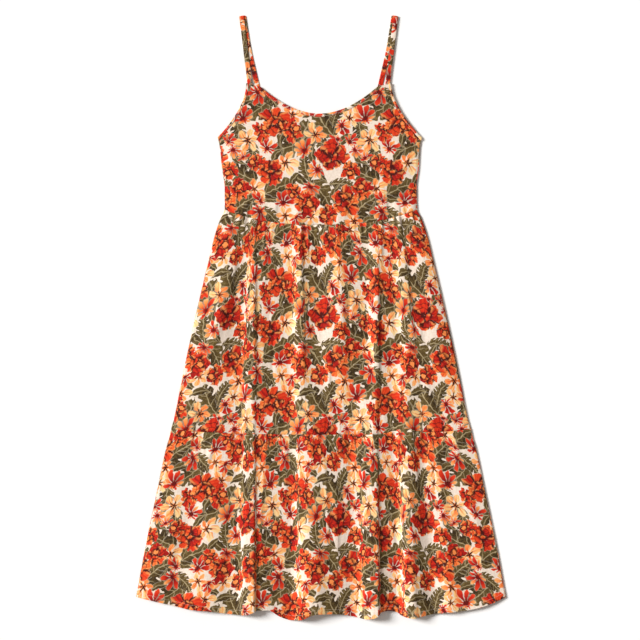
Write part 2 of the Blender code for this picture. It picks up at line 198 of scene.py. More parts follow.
STAMPS = {
    Motif.LOBED_LEAF: table(
        Stamp,
        (102, 194, 35, 36, 0.1), (18, 118, 120, 37, 0.4), (132, 142, 215, 35, 0.7),
        (226, 96, 75, 36, 0.2), (96, 14, 150, 35, 0.6), (194, 68, 200, 35, 0.9),
        (174, 226, 20, 35, 0.3), (14, 214, 310, 34, 0.5),
    ),
    Motif.FERN: table(
        Stamp,
        (94, 98, 275, 35, 0.3), (20, 74, 155, 30, 0.8), (154, 170, 320, 31, 0.1),
        (226, 26, 100, 33, 0.6), (48, 138, 60, 30, 0.4), (120, 54, 262, 31, 0.9),
        (58, 232, 350, 29, 0.2),
    ),
    Motif.LANCE_LEAF: table(
        Stamp,
        (62, 84, 40, 23, 0.2), (88, 46, 130, 22, 0.5), (178, 88, 70, 22, 0.8), (240, 138, 15, 23, 0.1),
        (116, 174, 100, 22, 0.6), (150, 202, 165, 22, 0.3), (204, 6, 50, 22, 0.9),
        (38, 212, 75, 22, 0.4), (216, 150, 340, 22, 0.7), (12, 14, 110, 22, 0.6),
        (107, 160, 20, 22, 0.2), (216, 2, 140, 23, 0.7), (166, 50, 60, 22, 0.4),
        (240, 50, 95, 22, 0.1),
    ),
    Motif.LILY: table(
        Stamp,
        (78, 158, 250, 38, 0.2), (202, 132, 80, 35, 0.6), (186, 36, 10, 35, 0.9),
        (236, 168, 150, 34, 0.4), (112, 82, 200, 36, 0.7), (4, 92, 65, 35, 0.1),
        (122, 222, 40, 34, 0.5), (184, 169, 300, 32, 0.8), (72, 126, 20, 28, 0.3),
    ),
    Motif.SPIKY: table(
        Stamp,
        (104, 124, 100, 39, 0.3), (56, 112, 290, 33, 0.7), (6, 22, 200, 34, 0.1),
        (226, 60, 120, 39, 0.5), (180, 194, 60, 36, 0.9), (236, 226, 270, 31, 0.6),
        (134, 178, 240, 33, 0.2), (82, 62, 330, 28, 0.8), (206, 166, 300, 27, 0.4),
        (150, 64, 75, 31, 0.2), (72, 78, 40, 25, 0.3), (137, 198, 130, 25, 0.7),
        (48, 84, 210, 23, 0.9), (102, 46, 80, 23, 0.5),
    ),
    Motif.BLOSSOM: table(
        Stamp,
        (62, 192, 100, 50, 0.08), (92, 216, 60, 34, 0.8), (28, 170, 170, 36, 0.95),
        (42, 46, 130, 49, 0.16), (72, 26, 240, 32, 0.55), (166, 120, 280, 50, 0.28),
        (198, 102, 350, 36, 0.75), (140, 98, 35, 32, 0.9), (156, 16, 70, 44, 0.12),
        (130, 36, 150, 31, 0.95), (222, 198, 310, 40, 0.8), (204, 218, 215, 30, 0.6),
    ),
}


@dataclass(frozen=True)
class PrintedVoile:
    """Plain-woven viscose voile, screen printed: matt inks with soft brushed edges on a cream ground."""

    ground: str = "#E6D4C3"
    ground_light: str = "#F5E5D5"
    halo: str = "#F3E3C8"
    leaf: str = "#5A4724"
    leaf_dark: str = "#382913"
    leaf_light: str = "#7A673B"
    leaf_vein: str = "#C2AF86"
    maroon: str = "#450D07"
    crimson: str = "#9E140E"
    red: str = "#CE280F"
    vermilion: str = "#E5481D"
    orange: str = "#F57B37"
    peach: str = "#FDA05A"
    straw: str = "#F9C67F"
    pale: str = "#F8DBA4"
    wobble: float = 2.8
    wobble_size: float = 10.0
    brush_scale: float = 0.22
    edge: float = 0.045
    halo_width: float = 0.045
    halo_strength: float = 0.3
    roughness: float = 0.82
    # Voile has a thread about every 0.35 mm, too fine to show here, so the weave is drawn at 0.8 mm.
    thread: float = 0.8
    crinkle: float = 5.0

    def build(self) -> Material:
        """Builds the printed cloth's material, which reads the flat cloth's coordinates in metres.

        Returns:
            The material.
        """
        # To the eye this is a matt, slightly crinkled cloth, whose inks sink in and have uneven edges.
        material, tree = empty_material("printed_voile")
        flat = add_node(tree, "UVMap", uv_map=FLAT_MAP)
        flat = add_node(tree, "VectorMath", flat, 1 / MM, operation="SCALE")
        rough = add_node(
            tree, "TexNoise", flat, 1 / self.wobble_size, 1.5, 0.55, noise_dimensions="2D", out="Color"
        )
        centred = add_node(tree, "VectorMath", rough, (0.5, 0.5, 0.5), operation="SUBTRACT")
        reach = (2 * self.wobble, 2 * self.wobble, 0)
        shift = add_node(tree, "VectorMath", centred, reach, flat, operation="MULTIPLY_ADD")
        brush = add_node(tree, "TexNoise", flat, self.brush_scale, 3.0, 0.65, noise_dimensions="2D")
        stops = ((0.3, self.ground), (0.7, self.ground_light))
        colour = shape_ramp(add_node(tree, "ValToRGB", brush), stops)
        painter = MotifPainter(tree, self, brush)
        for motif, stamps in STAMPS.items():
            ink, inside = painter.draw(motif, painter.nearest(shift, stamps))
            colour = painter.laid_over(colour, ink, inside)
        surface(
            tree, colour, self.roughness, self.relief(tree, flat),
            Sheen_Weight=0.04, Sheen_Roughness=0.5, Specular_IOR_Level=0.2,
        )
        return material

    def relief(self, tree: Tree, flat: Socket) -> Socket:
        """The crinkle, longer along the cloth than across it, and the weave on it.

        Args:
            tree: the node tree.
            flat: the flat cloth's coordinates in millimetres.

        Returns:
            The normal.
        """
        narrow = (1 / self.crinkle, 0.2 / self.crinkle, 1)
        crinkled = add_node(tree, "Mapping", flat, (0, 0, 0), (0, 0, 0), narrow)
        crinkles = add_node(tree, "TexNoise", crinkled, 1.0, 2.0, 0.55, noise_dimensions="2D")
        bump = add_node(tree, "Bump", 0.35, 0.0008, None, crinkles, out="Normal")
        threads = add_node(tree, "VectorMath", flat, math.tau / self.thread, operation="SCALE")
        threads = add_node(tree, "VectorMath", threads, operation="SINE")
        warp, weft = (add_node(tree, "SeparateXYZ", threads, out=axis) for axis in "XY")
        weave = add_node(tree, "Math", warp, weft, operation="MULTIPLY")
        return add_node(tree, "Bump", 0.3, 0.0001, None, weave, bump, out="Normal")


@dataclass(frozen=True)
class SewingThread:
    """Spun polyester thread, twisted from short fibres."""

    light: str = "#F1E6D8"
    dark: str = "#CBB9A0"
    twist: float = 0.5
    roughness: float = 0.75

    def build(self) -> Material:
        """Builds the thread's material."""
        # To the eye this is a dry, slightly hairy cream line, mottled by its twist.
        material, tree = empty_material("spun_polyester_thread")
        place = add_node(tree, "TexCoord", out="Object")
        place = add_node(tree, "VectorMath", place, 1 / (self.twist * MM), operation="SCALE")
        fibres = add_node(tree, "TexNoise", place, 1.0, 2.0, 0.5)
        stops = ((0.35, self.dark), (0.65, self.light))
        colour = shape_ramp(add_node(tree, "ValToRGB", fibres), stops)
        surface(tree, colour, self.roughness, add_node(tree, "Bump", 0.4, 0.0001, None, fibres, out="Normal"))
        return material


@dataclass(frozen=True)
class BackdropPaper:
    """Uncoated studio paper, rolled out flat."""

    light: str = "#FDFDFD"
    dark: str = "#FAFAF9"
    roughness: float = 0.9

    def build(self) -> Material:
        """Builds the paper's material."""
        # To the eye this is an even, almost white ground with no gloss, on which a soft shadow shows.
        material, tree = empty_material("backdrop_paper")
        cloudy = add_node(tree, "TexNoise", add_node(tree, "TexCoord", out="Object"), 1.5, 2.0, 0.5)
        tint = shape_ramp(add_node(tree, "ValToRGB", cloudy), ((0.0, self.dark), (1.0, self.light)))
        surface(tree, tint, self.roughness)
        return material


class Leaf(NamedTuple):
    """A leaf's half width along it, how it bends, its rib from edge to middle, and any lobes it has."""

    outline: tuple
    bow: float
    rib: tuple[float, float, float, float]
    lobes: float = 0.0
    rake: float = 0.0
    cut: float = 0.0


LEAVES = {
    Motif.LOBED_LEAF: Leaf(
        ((0, 0.0), (0.08, 0.45), (0.3, 0.72), (0.6, 0.6), (0.85, 0.34), (1, 0.0)),
        bow=0.18, rib=(0.035, 0.015, 0.0, 0.75), lobes=3.4, rake=0.7, cut=0.6,
    ),
    Motif.FERN: Leaf(
        ((0, 0.0), (0.12, 0.26), (0.4, 0.46), (0.75, 0.36), (1, 0.0)),
        bow=0.18, rib=(0.035, 0.015, 0.0, 0.75), lobes=7.0, rake=0.6, cut=0.42,
    ),
    Motif.LANCE_LEAF: Leaf(
        ((0, 0.0), (0.2, 0.2), (0.5, 0.36), (0.8, 0.2), (1, 0.0)), bow=0.34, rib=(0.06, 0.02, 0.0, 0.6)
    ),
}


class Ring(NamedTuple):
    """A ring of petals: its number, its turn, its sizes and a petal's width along it.

    The turn is a share of one petal and the swirl is in radians. Spread, fan and ragged are shares of the
    length: by how much the shortest petal, the petals at the back and the teeth of the tips fall short.
    """

    petals: int
    twist: float
    length: float
    spread: float
    outline: tuple
    fan: float
    swirl: float
    ragged: float


LILY_OUTLINE = ((0, 1.0), (0.25, 0.78), (0.5, 0.92), (0.8, 0.6), (1, 0.0))
TUFT_OUTLINE = ((0, 1.1), (0.35, 1.08), (0.65, 0.95), (0.85, 0.62), (1, 0.0))
BROAD_OUTLINE = ((0, 1.3), (0.6, 1.25), (0.8, 1.05), (0.92, 0.7), (1, 0.0))
LILY_RING = Ring(6, 0.0, 1.0, 0.35, LILY_OUTLINE, fan=0.3, swirl=0.3, ragged=0.12)
TUFT_RING = Ring(10, 0.3, 1.0, 0.4, TUFT_OUTLINE, fan=0.6, swirl=0.2, ragged=0.1)
OUTER_RING = Ring(6, 0.1, 0.98, 0.34, BROAD_OUTLINE, fan=0.24, swirl=0.45, ragged=0.2)
MIDDLE_RING = Ring(4, 0.45, 0.7, 0.4, BROAD_OUTLINE, fan=0.2, swirl=-0.6, ragged=0.2)
HEART_RING = Ring(3, 0.2, 0.42, 0.4, BROAD_OUTLINE, fan=0.2, swirl=0.9, ragged=0.2)


class Petals(NamedTuple):
    """What a ring of petals gives at a point."""

    inside: Socket
    chance: Socket
    along: Socket
    side: Socket
    apart: Socket
    stroke: Socket


class MotifPainter:
    """Draws a print's motifs in a node tree, each in its stamp's own coordinates."""

    def __init__(self, tree: Tree, cloth: PrintedVoile, brush: Socket) -> None:
        """Keeps what every motif needs.

        Args:
            tree: the node tree.
            cloth: the print's inks and edges.
            brush: an uneven brush tone from 0 to 1.
        """
        self.add = partial(add_node, tree)
        self.cloth = cloth
        self.brush = brush

    def nearest(self, flat: Socket, stamps: tuple[Stamp, ...]) -> Socket:
        """Coordinates about the nearest stamp of one kind: 1 at its tip, a fifth of its tone in Z.

        Args:
            flat: the flat cloth's coordinates in millimetres.
            stamps: the stamps of that kind.

        Returns:
            The vector.
        """
        add = self.add
        best = reach = None
        half = (REPEAT[0] / 2, REPEAT[1] / 2)
        for stamp in stamps:
            high = (stamp.x + half[0], stamp.y + half[1], 1.0)
            low = (stamp.x - half[0], stamp.y - half[1], -1.0)
            near = add("VectorMath", flat, high, low, operation="WRAP")
            place, turn = (stamp.x, stamp.y, -stamp.tone / 5), (0, 0, math.radians(stamp.turn))
            local = add("Mapping", near, place, turn, (stamp.size, stamp.size, 1), vector_type="TEXTURE")
            length = add("VectorMath", local, operation="LENGTH", out="Value")
            if best is None:
                best, reach = local, length
                continue
            closer = add("Math", length, reach, operation="LESS_THAN")
            best = add("Mix", closer, best, local, data_type="VECTOR")
            reach = add("Math", length, reach, operation="MINIMUM")
        return best

    def laid_over(self, below: Socket, ink: Socket, inside: Socket) -> Socket:
        """One layer of ink with a faint pale outline, over what is printed below it.

        Args:
            below: the colour below.
            ink: the layer's colour.
            inside: how far inside its outline a point is.

        Returns:
            The colour.
        """
        cloth = self.cloth
        width, edge = cloth.halo_width, cloth.edge
        below = self.painted(below, cloth.halo, inside, -width, -width + edge, 0.0, cloth.halo_strength)
        return self.painted(below, ink, inside, 0.0, edge)

    def painted(
        self, below: Socket, ink: Socket | str, by: Socket, *span: float, fade: Socket | None = None
    ) -> Socket:
        """One ink laid over another wherever a measure runs from one value to a second.

        Args:
            below: the colour below.
            ink: the colour laid over it.
            by: the measure.
            *span: its two values, and how strong the ink is at each if not 0 and 1.
            fade: what the strength is multiplied by, if anything.

        Returns:
            The colour.
        """
        cover = self.add("MapRange", by, *span)
        if fade is not None:
            cover = self.add("Math", cover, fade, operation="MULTIPLY")
        return self.add("Mix", cover, below, ink, data_type="RGBA")

    def draw(self, motif: Motif, local: Socket) -> tuple[Socket, Socket]:
        """Draws one kind of motif.

        Args:
            motif: the kind.
            local: the stamp's coordinates, X along it.

        Returns:
            The ink's colour and how far inside the outline a point is.
        """
        if motif in LEAVES:
            return self.leaf(local, LEAVES[motif])
        flowers = {Motif.LILY: self.lily, Motif.SPIKY: self.spiky, Motif.BLOSSOM: self.blossom}
        return flowers[motif](local)

    def leaf_inks(self, side: Socket, vein: Socket) -> Socket:
        """Brushed olive, darker on one side of the rib, with pale veins.

        Args:
            side: the signed distance from the rib.
            vein: how much of a vein a point is, from 0 to 1.

        Returns:
            The colour.
        """
        cloth = self.cloth
        light = self.add("MapRange", side, -0.25, 0.25, -0.2, 0.2)
        tone = self.add("Math", self.brush, light, operation="ADD")
        stops = ((0.28, cloth.leaf_dark), (0.44, cloth.leaf), (0.64, cloth.leaf), (0.84, cloth.leaf_light))
        olive = shape_ramp(self.add("ValToRGB", tone), stops)
        return self.add("Mix", vein, olive, cloth.leaf_vein, data_type="RGBA")

    def leaf(self, local: Socket, kind: Leaf) -> tuple[Socket, Socket]:
        """A leaf, bent and pointed, plain or cut into lobes that rake towards its tip.

        Args:
            local: the stamp's coordinates, X along the rib.
            kind: its shape.

        Returns:
            The ink's colour and how far inside the outline a point is.
        """
        add = self.add
        x, y = (add("SeparateXYZ", local, out=axis) for axis in "XY")
        bow = add("Math", x, x, operation="MULTIPLY")
        y = add("Math", bow, kind.bow, y, operation="MULTIPLY_ADD")
        across = add("Math", y, operation="ABSOLUTE")
        width = shape_curve(add("FloatCurve", 1.0, add("MapRange", x, -1.0, 1.0)), kind.outline)
        inside = add("Math", width, across, operation="SUBTRACT")
        vein = add("MapRange", across, *kind.rib)
        if kind.lobes:
            raked = add("Math", across, -kind.rake, x, operation="MULTIPLY_ADD")
            wave = add("Math", raked, kind.lobes * math.pi, operation="MULTIPLY")
            wave = add("Math", wave, operation="COSINE")
            share = add("Math", across, width, operation="DIVIDE")
            slit = add("MapRange", wave, 0.6, 0.98, 0.0, kind.cut)
            slit = add("Math", slit, add("MapRange", share, 0.25, 0.75), operation="MULTIPLY")
            inside = add("Math", inside, slit, operation="SUBTRACT")
            veins = add("MapRange", wave, -0.92, -0.99, 0.0, 0.5)
            veins = add("Math", veins, add("MapRange", share, 0.85, 0.5), operation="MULTIPLY")
            vein = add("Math", veins, vein, operation="MAXIMUM")
        return self.leaf_inks(y, vein), inside

    def ring(self, local: Socket, kind: Ring) -> Petals:
        """A ring of petals about a stamp's middle.

        Args:
            local: the stamp's coordinates.
            kind: the ring's number, sizes and shape.

        Returns:
            How far inside the outline a point is, its petal's random number, the share of the way along
            it, the signed and the plain distance from its middle line, and the strokes along it.
        """
        add, petals = self.add, kind.petals
        x, y, tone = (add("SeparateXYZ", local, out=axis) for axis in "XYZ")
        plan = add("CombineXYZ", x, y, 0.0)
        radius = add("VectorMath", plan, operation="LENGTH", out="Value")
        angle = add("Math", y, x, operation="ARCTAN2")
        facing = add("Math", angle, operation="COSINE")
        lean = add("MapRange", facing, -1.0, 1.0, 1 - kind.fan, 1.0)
        angle = add("Math", radius, kind.swirl, angle, operation="MULTIPLY_ADD")
        turns = add("Math", angle, petals / math.tau, petals + kind.twist, operation="MULTIPLY_ADD")
        nearest = add("Math", turns, operation="ROUND")
        petal = add("Math", nearest, float(petals), operation="FLOORED_MODULO")
        side = add("Math", turns, nearest, operation="SUBTRACT")
        apart = add("Math", side, operation="ABSOLUTE")
        own = add("CombineXYZ", petal, tone, kind.twist)
        chance = add("TexWhiteNoise", own, noise_dimensions="3D", out="Value")
        reach = add("MapRange", chance, 0.0, 1.0, kind.length, kind.length * (1 - kind.spread))
        reach = add("Math", reach, lean, operation="MULTIPLY")
        teeth = add("CombineXYZ", side, nearest, chance)
        teeth = add("VectorMath", teeth, (3.4, 3.7, 9.0), operation="MULTIPLY")
        teeth = add("TexNoise", teeth, 1.0, 1.0, 0.5)
        teeth = add("MapRange", teeth, 0.3, 0.7, 1 - kind.ragged, 1.0)
        reach = add("Math", reach, teeth, operation="MULTIPLY")
        along = add("Math", radius, reach, operation="DIVIDE")
        width = shape_curve(add("FloatCurve", 1.0, along), kind.outline)
        room = add("Math", width, 0.5, operation="MULTIPLY")
        room = add("Math", room, apart, operation="SUBTRACT")
        step = add("Math", radius, math.tau / petals, operation="MULTIPLY")
        inside = add("Math", room, step, operation="MULTIPLY")
        past = add("Math", reach, radius, operation="SUBTRACT")
        inside = add("Math", inside, past, operation="MINIMUM")
        core = add("Math", 0.2, radius, operation="SUBTRACT")
        inside = add("Math", inside, core, operation="MAXIMUM")
        strokes = add("CombineXYZ", side, along, nearest)
        strokes = add("VectorMath", strokes, (6.0, 1.2, 5.3), operation="MULTIPLY")
        stroke = add("TexNoise", strokes, 1.0, 2.0, 0.6)
        return Petals(inside, chance, along, side, apart, stroke)

    def lily(self, local: Socket) -> tuple[Socket, Socket]:
        """A pale open flower with six pointed petals, orange streaks and dark stamens.

        Args:
            local: the stamp's coordinates.

        Returns:
            The ink's colour and how far inside the outline a point is.
        """
        add, cloth = self.add, self.cloth
        petals = self.ring(local, LILY_RING)
        shade = add("Math", petals.chance, 0.45, petals.stroke, operation="MULTIPLY_ADD")
        stops = ((0.45, cloth.pale), (0.62, cloth.straw), (0.8, cloth.peach), (0.96, cloth.orange))
        ink = shape_ramp(add("ValToRGB", shade), stops)
        fade = add("MapRange", petals.along, 0.8, 0.35)
        ink = self.painted(ink, cloth.vermilion, petals.apart, 0.14, 0.02, 0.0, 0.9, fade=fade)
        ink = self.painted(ink, cloth.orange, petals.side, 0.2, 0.36, 0.0, 0.8)
        stamen = add("Math", petals.apart, 0.7, petals.along, operation="MULTIPLY_ADD")
        return self.painted(ink, cloth.maroon, stamen, 0.46, 0.36), petals.inside

    def spiky(self, local: Socket) -> tuple[Socket, Socket]:
        """A tuft of narrow petals, dark at the heart and paler to the tips.

        Args:
            local: the stamp's coordinates.

        Returns:
            The ink's colour and how far inside the outline a point is.
        """
        add, cloth = self.add, self.cloth
        petals = self.ring(local, TUFT_RING)
        stops = ((0.16, cloth.maroon), (0.4, cloth.crimson), (0.62, cloth.red), (1, cloth.vermilion))
        red = shape_ramp(add("ValToRGB", petals.along), stops)
        stops = ((0.12, cloth.maroon), (0.3, cloth.red), (0.5, cloth.orange), (0.8, cloth.peach))
        gold = shape_ramp(add("ValToRGB", petals.along), (*stops, (1, cloth.straw)))
        ink = self.painted(red, gold, petals.chance, 0.52, 0.58)
        return self.painted(ink, cloth.crimson, petals.apart, 0.3, 0.44, 0.0, 0.85), petals.inside

    def blossom(self, local: Socket) -> tuple[Socket, Socket]:
        """A full flower: broad petals round two smaller rings, and on some a peach bud, with maroon between.

        Args:
            local: the stamp's coordinates.

        Returns:
            The ink's colour and how far inside the outline a point is.
        """
        add, cloth = self.add, self.cloth
        outer = self.ring(local, OUTER_RING)
        ink = self.petal_inks(outer)
        for kind, shift in ((MIDDLE_RING, 0.12), (HEART_RING, 0.18)):
            middle = add("VectorMath", local, (shift, shift / 2, 0.0), operation="SUBTRACT")
            inner = self.ring(middle, kind)
            ink = self.painted(ink, cloth.maroon, inner.inside, -0.15, -0.04, 0.0, 0.95)
            ink = self.painted(ink, self.petal_inks(inner), inner.inside, 0.0, cloth.edge)
        bud = add("VectorMath", local, (0.3, 0.12, 0.0), operation="SUBTRACT")
        bud = add("VectorMath", bud, (1.0, 1.2, 0.0), operation="MULTIPLY")
        bud = add("VectorMath", bud, operation="LENGTH", out="Value")
        # Z holds a fifth of the stamp's tone, and a tone of 0.5 or more gives a bud.
        tone = add("SeparateXYZ", local, out="Z")
        budded = add("MapRange", tone, 0.08, 0.1, 0.0, 0.21)
        bud = add("Math", budded, bud, operation="SUBTRACT")
        bud = add("Math", self.brush, 0.22, bud, operation="MULTIPLY_ADD")
        bud = add("Math", bud, 0.15, operation="SUBTRACT")
        small = add("Math", budded, 4.8, operation="MULTIPLY")
        ink = self.painted(ink, cloth.maroon, bud, -0.09, -0.03, 0.0, 0.9, fade=small)
        peach = add("Mix", self.brush, cloth.orange, cloth.peach, data_type="RGBA")
        return self.painted(ink, peach, bud, 0.0, cloth.edge), outer.inside

    def petal_inks(self, petals: Petals) -> Socket:
        """Red, orange or peach strokes along each petal, with a dark root, a dark gap and one pale rim.

        Args:
            petals: the ring of petals.

        Returns:
            The colour.
        """
        add, cloth = self.add, self.cloth
        shade = add("Math", petals.stroke, 1.5, -0.72, operation="MULTIPLY_ADD")
        shade = add("Math", petals.chance, 0.9, shade, operation="MULTIPLY_ADD")
        stops = ((0.02, cloth.crimson), (0.2, cloth.red), (0.56, cloth.vermilion), (0.82, cloth.orange))
        ink = shape_ramp(add("ValToRGB", shade), (*stops, (1.0, cloth.peach)))
        outward = add("MapRange", petals.along, 0.35, 0.7)
        ink = self.painted(ink, cloth.peach, petals.side, 0.18, 0.32, 0.0, 0.8, fade=outward)
        crease = add("MapRange", petals.apart, 0.32, 0.42)
        fade = add("MapRange", petals.along, 0.95, 0.75)
        crease = add("Math", crease, fade, operation="MULTIPLY")
        streaky = add("Math", petals.stroke, 0.5, petals.along, operation="MULTIPLY_ADD")
        root = add("MapRange", streaky, 0.74, 0.58, 0.0, 0.95)
        dark = add("Math", crease, root, operation="MAXIMUM")
        return add("Mix", dark, ink, cloth.maroon, data_type="RGBA")


class Side(NamedTuple):
    """Half the dress's width at one height."""

    y: float
    half: float


SIDES = table(
    Side,
    (-559, 370), (-461, 352), (-341, 327), (-261, 310), (-241, 304), (-223, 300), (-201, 294),
    (-121, 278), (-41, 261), (39, 243), (119, 224), (160, 214), (199, 201), (216, 193), (260, 192),
    (300, 197), (339, 200), (361, 204),
)


class UpperFold(NamedTuple):
    """A line down the upper tier: where it starts and ends, and how far it stands up."""

    waist_x: float
    tier_x: float
    waist_up: float
    middle_up: float


UPPER_FOLDS = table(
    UpperFold,
    (-193, -300, 0.0, 0.0), (-178, -268, 1.8, 3.6), (-166, -240, 2.8, 6.2), (-156, -216, 2.2, 4.4),
    (-146, -186, 1.2, 1.2), (-143, -170, 1.2, 1.4), (-138, -150, 2.6, 5.6), (-133, -134, 3.5, 8.0),
    (-127, -126, 2.4, 5.0), (-110, -110, 1.6, 3.4), (-86, -86, 1.0, 1.8), (-66, -62, 0.8, 0.9),
    (-60, -54, 1.4, 2.2), (-50, -44, 3.0, 6.6), (-40, -34, 3.5, 8.0), (-34, -27, 2.4, 5.2),
    (-16, -10, 1.0, 1.8), (-6, 2, 1.2, 2.2), (16, 26, 2.6, 5.6), (34, 46, 3.5, 8.0),
    (46, 58, 2.6, 6.2), (66, 78, 1.6, 3.0), (86, 96, 1.0, 1.2), (92, 101, 1.4, 2.4),
    (103, 109, 3.0, 7.0), (111, 116, 3.5, 8.2), (117, 122, 2.4, 5.0), (136, 158, 1.0, 1.6),
    (141, 168, 1.4, 2.8), (149, 186, 2.8, 6.6), (156, 200, 2.6, 6.2), (161, 212, 1.4, 2.6),
    (169, 232, 1.6, 3.2), (180, 262, 2.0, 4.6), (187, 282, 1.4, 3.0), (193, 300, 0.0, 0.0),
)


class LowerFold(NamedTuple):
    """A line down the lower tier: where it starts and ends, and how far it stands up."""

    tier_x: float
    hem_x: float
    hem_y: float
    tier_up: float
    hem_up: float


LOWER_FOLDS = table(
    LowerFold,
    (-300, -370, -559, 0.0, 0.0), (-266, -326, -569, 2.5, 4.5), (-240, -292, -577, 1.5, 2.6),
    (-216, -260, -584, 3.2, 6.5), (-200, -238, -586, 3.6, 8.0), (-186, -216, -588, 3.0, 7.0),
    (-166, -180, -593, 1.4, 2.2), (-160, -170, -594, 1.8, 3.2), (-148, -152, -594, 5.0, 11.5),
    (-135, -134, -588, 6.5, 14.0), (-128, -127, -585, 4.4, 8.6), (-108, -106, -585, 3.0, 6.0),
    (-84, -82, -598, 1.8, 3.2), (-62, -60, -605, 0.9, 1.2), (-54, -52, -605, 1.8, 3.2),
    (-42, -38, -603, 5.0, 11.5), (-26, -20, -595, 6.5, 15.5), (-14, -8, -592, 6.0, 15.0),
    (8, 12, -592, 4.4, 10.5), (34, 38, -593, 2.8, 6.2), (62, 68, -598, 1.2, 1.8),
    (70, 76, -600, 1.6, 2.8), (86, 90, -602, 5.0, 10.5), (102, 106, -600, 6.5, 14.5),
    (110, 114, -596, 6.4, 14.5), (117, 120, -589, 4.0, 8.5), (132, 136, -586, 2.2, 4.5),
    (146, 152, -589, 1.0, 1.4), (152, 160, -595, 2.0, 4.0), (164, 174, -599, 5.4, 12.5),
    (174, 186, -600, 6.0, 14.5), (182, 196, -598, 4.8, 11.0), (206, 230, -592, 1.4, 2.0),
    (214, 240, -591, 2.0, 4.0), (226, 258, -589, 3.8, 7.5), (244, 286, -586, 2.6, 4.6),
    (264, 316, -580, 2.4, 4.6), (282, 344, -571, 1.5, 2.6), (300, 370, -559, 0.0, 0.0),
)


class Crease(NamedTuple):
    """A ridge, or with a negative height a valley, between two places.

    It has its own reach on each side.
    """

    x: float
    y: float
    to_x: float
    to_y: float
    height: float
    left: float
    right: float


UPPER_CREASES = table(
    Crease,
    (-80, 60, -80, -236, -1.3, 5, 2), (-37, 156, -36, 20, 1.7, 8, 3), (3, 190, 3, 6, -1.0, 6, 6),
    (26, 190, 28, 40, 1.4, 4, 7), (62, 80, 65, -124, -1.3, 7, 2), (114, 190, 118, 80, 1.8, 7, 3),
    (186, 42, 188, -172, 1.6, 12, 4), (-168, 150, -214, -60, 1.5, 10, 4),
    (-182, 120, -262, -190, 1.2, 14, 6), (-100, 30, -98, -150, -0.9, 6, 4),
    (16, -60, 18, -236, 1.2, 6, 3), (138, 60, 150, -110, 1.1, 8, 3), (208, -40, 236, -226, 1.4, 12, 5),
    (-52, -60, -50, -234, 1.1, 6, 3), (164, 196, 180, 88, 1.4, 7, 3), (-118, 150, -116, 40, 1.0, 6, 4),
)

LOWER_CREASES = table(
    Crease,
    (178, -232, 194, -412, 2.0, 9, 3), (-236, -240, -286, -450, 1.3, 15, 5),
    (-210, -232, -236, -420, 1.6, 10, 4), (-104, -250, -102, -580, 1.0, 5, 3),
    (-66, -236, -64, -430, 1.4, 7, 3), (-2, -236, 2, -560, 1.2, 6, 4), (24, -300, 27, -592, 1.5, 9, 3),
    (52, -232, 56, -380, -1.2, 6, 3), (96, -236, 98, -420, 1.2, 5, 3),
    (138, -400, 142, -588, 1.2, 6, 3), (222, -236, 252, -480, 1.5, 10, 4),
    (262, -260, 330, -566, 1.3, 14, 6), (-270, -380, -318, -566, 1.2, 14, 6),
    (-176, -420, -186, -590, 1.3, 8, 4),
)

BODICE_CREASES = table(
    Crease,
    (-196, 352, -120, 300, 1.6, 12, 9), (-190, 330, -136, 262, 1.1, 9, 7),
    (196, 350, 118, 306, 1.5, 11, 9), (188, 326, 140, 250, 1.2, 8, 8),
    (-150, 200, -142, 272, 1.3, 7, 4), (-96, 190, -84, 286, 1.4, 8, 4),
    (-52, 188, -44, 250, 1.2, 7, 4), (-6, 186, 4, 268, 1.3, 8, 5), (48, 188, 44, 296, 1.4, 9, 4),
    (92, 190, 82, 262, 1.2, 7, 4), (134, 196, 120, 280, 1.3, 8, 4), (-60, 402, -20, 330, 0.9, 14, 12),
    (58, 402, 22, 340, 0.9, 14, 12),
)

BACK_CREASES = table(
    Crease,
    (-140, 190, -150, 40, 0.5, 9, 4), (-88, 186, -84, 70, 0.6, 7, 4), (-30, 184, -34, -40, 0.5, 10, 4),
    (22, 184, 30, 96, 0.6, 6, 5), (74, 186, 88, -90, 0.5, 9, 5), (132, 190, 146, 60, 0.6, 8, 4),
    (-230, -232, -262, -430, 0.5, 12, 6), (-150, -234, -158, -330, 0.6, 8, 5),
    (-62, -234, -58, -500, 0.5, 11, 5), (18, -234, 12, -352, 0.6, 8, 5),
    (96, -234, 110, -470, 0.5, 12, 5), (188, -233, 214, -380, 0.6, 9, 6),
    (-110, 380, -60, 300, 0.5, 16, 12), (120, 372, 76, 290, 0.5, 15, 12),
)


class TopEdge(NamedTuple):
    """The finished top of a bodice: a scoop, two short shoulder edges and two armholes."""

    neck_low: float
    neck_half: float
    neck_high: float
    arm_x: float
    arm_high: float


FRONT_TOP = TopEdge(neck_low=408, neck_half=117, neck_high=462, arm_x=145, arm_high=469)
BACK_TOP = TopEdge(neck_low=402, neck_half=109, neck_high=436, arm_x=127, arm_high=439)


class StrapPoint(NamedTuple):
    """A strap's middle at one height: its front strand and the back strand behind it."""

    y: float
    front_x: float
    back_x: float


STRAP_POINTS = table(
    StrapPoint,
    (438.4, 136.0, 117.6), (469.5, 138.3, 124.4), (539.0, 146.7, 140.1), (603.0, 154.4, 150.3),
)


def ease(t: Array) -> Array:
    """A soft step from 0 to 1."""
    t = np.clip(t, 0, 1)
    return t * t * (3 - 2 * t)


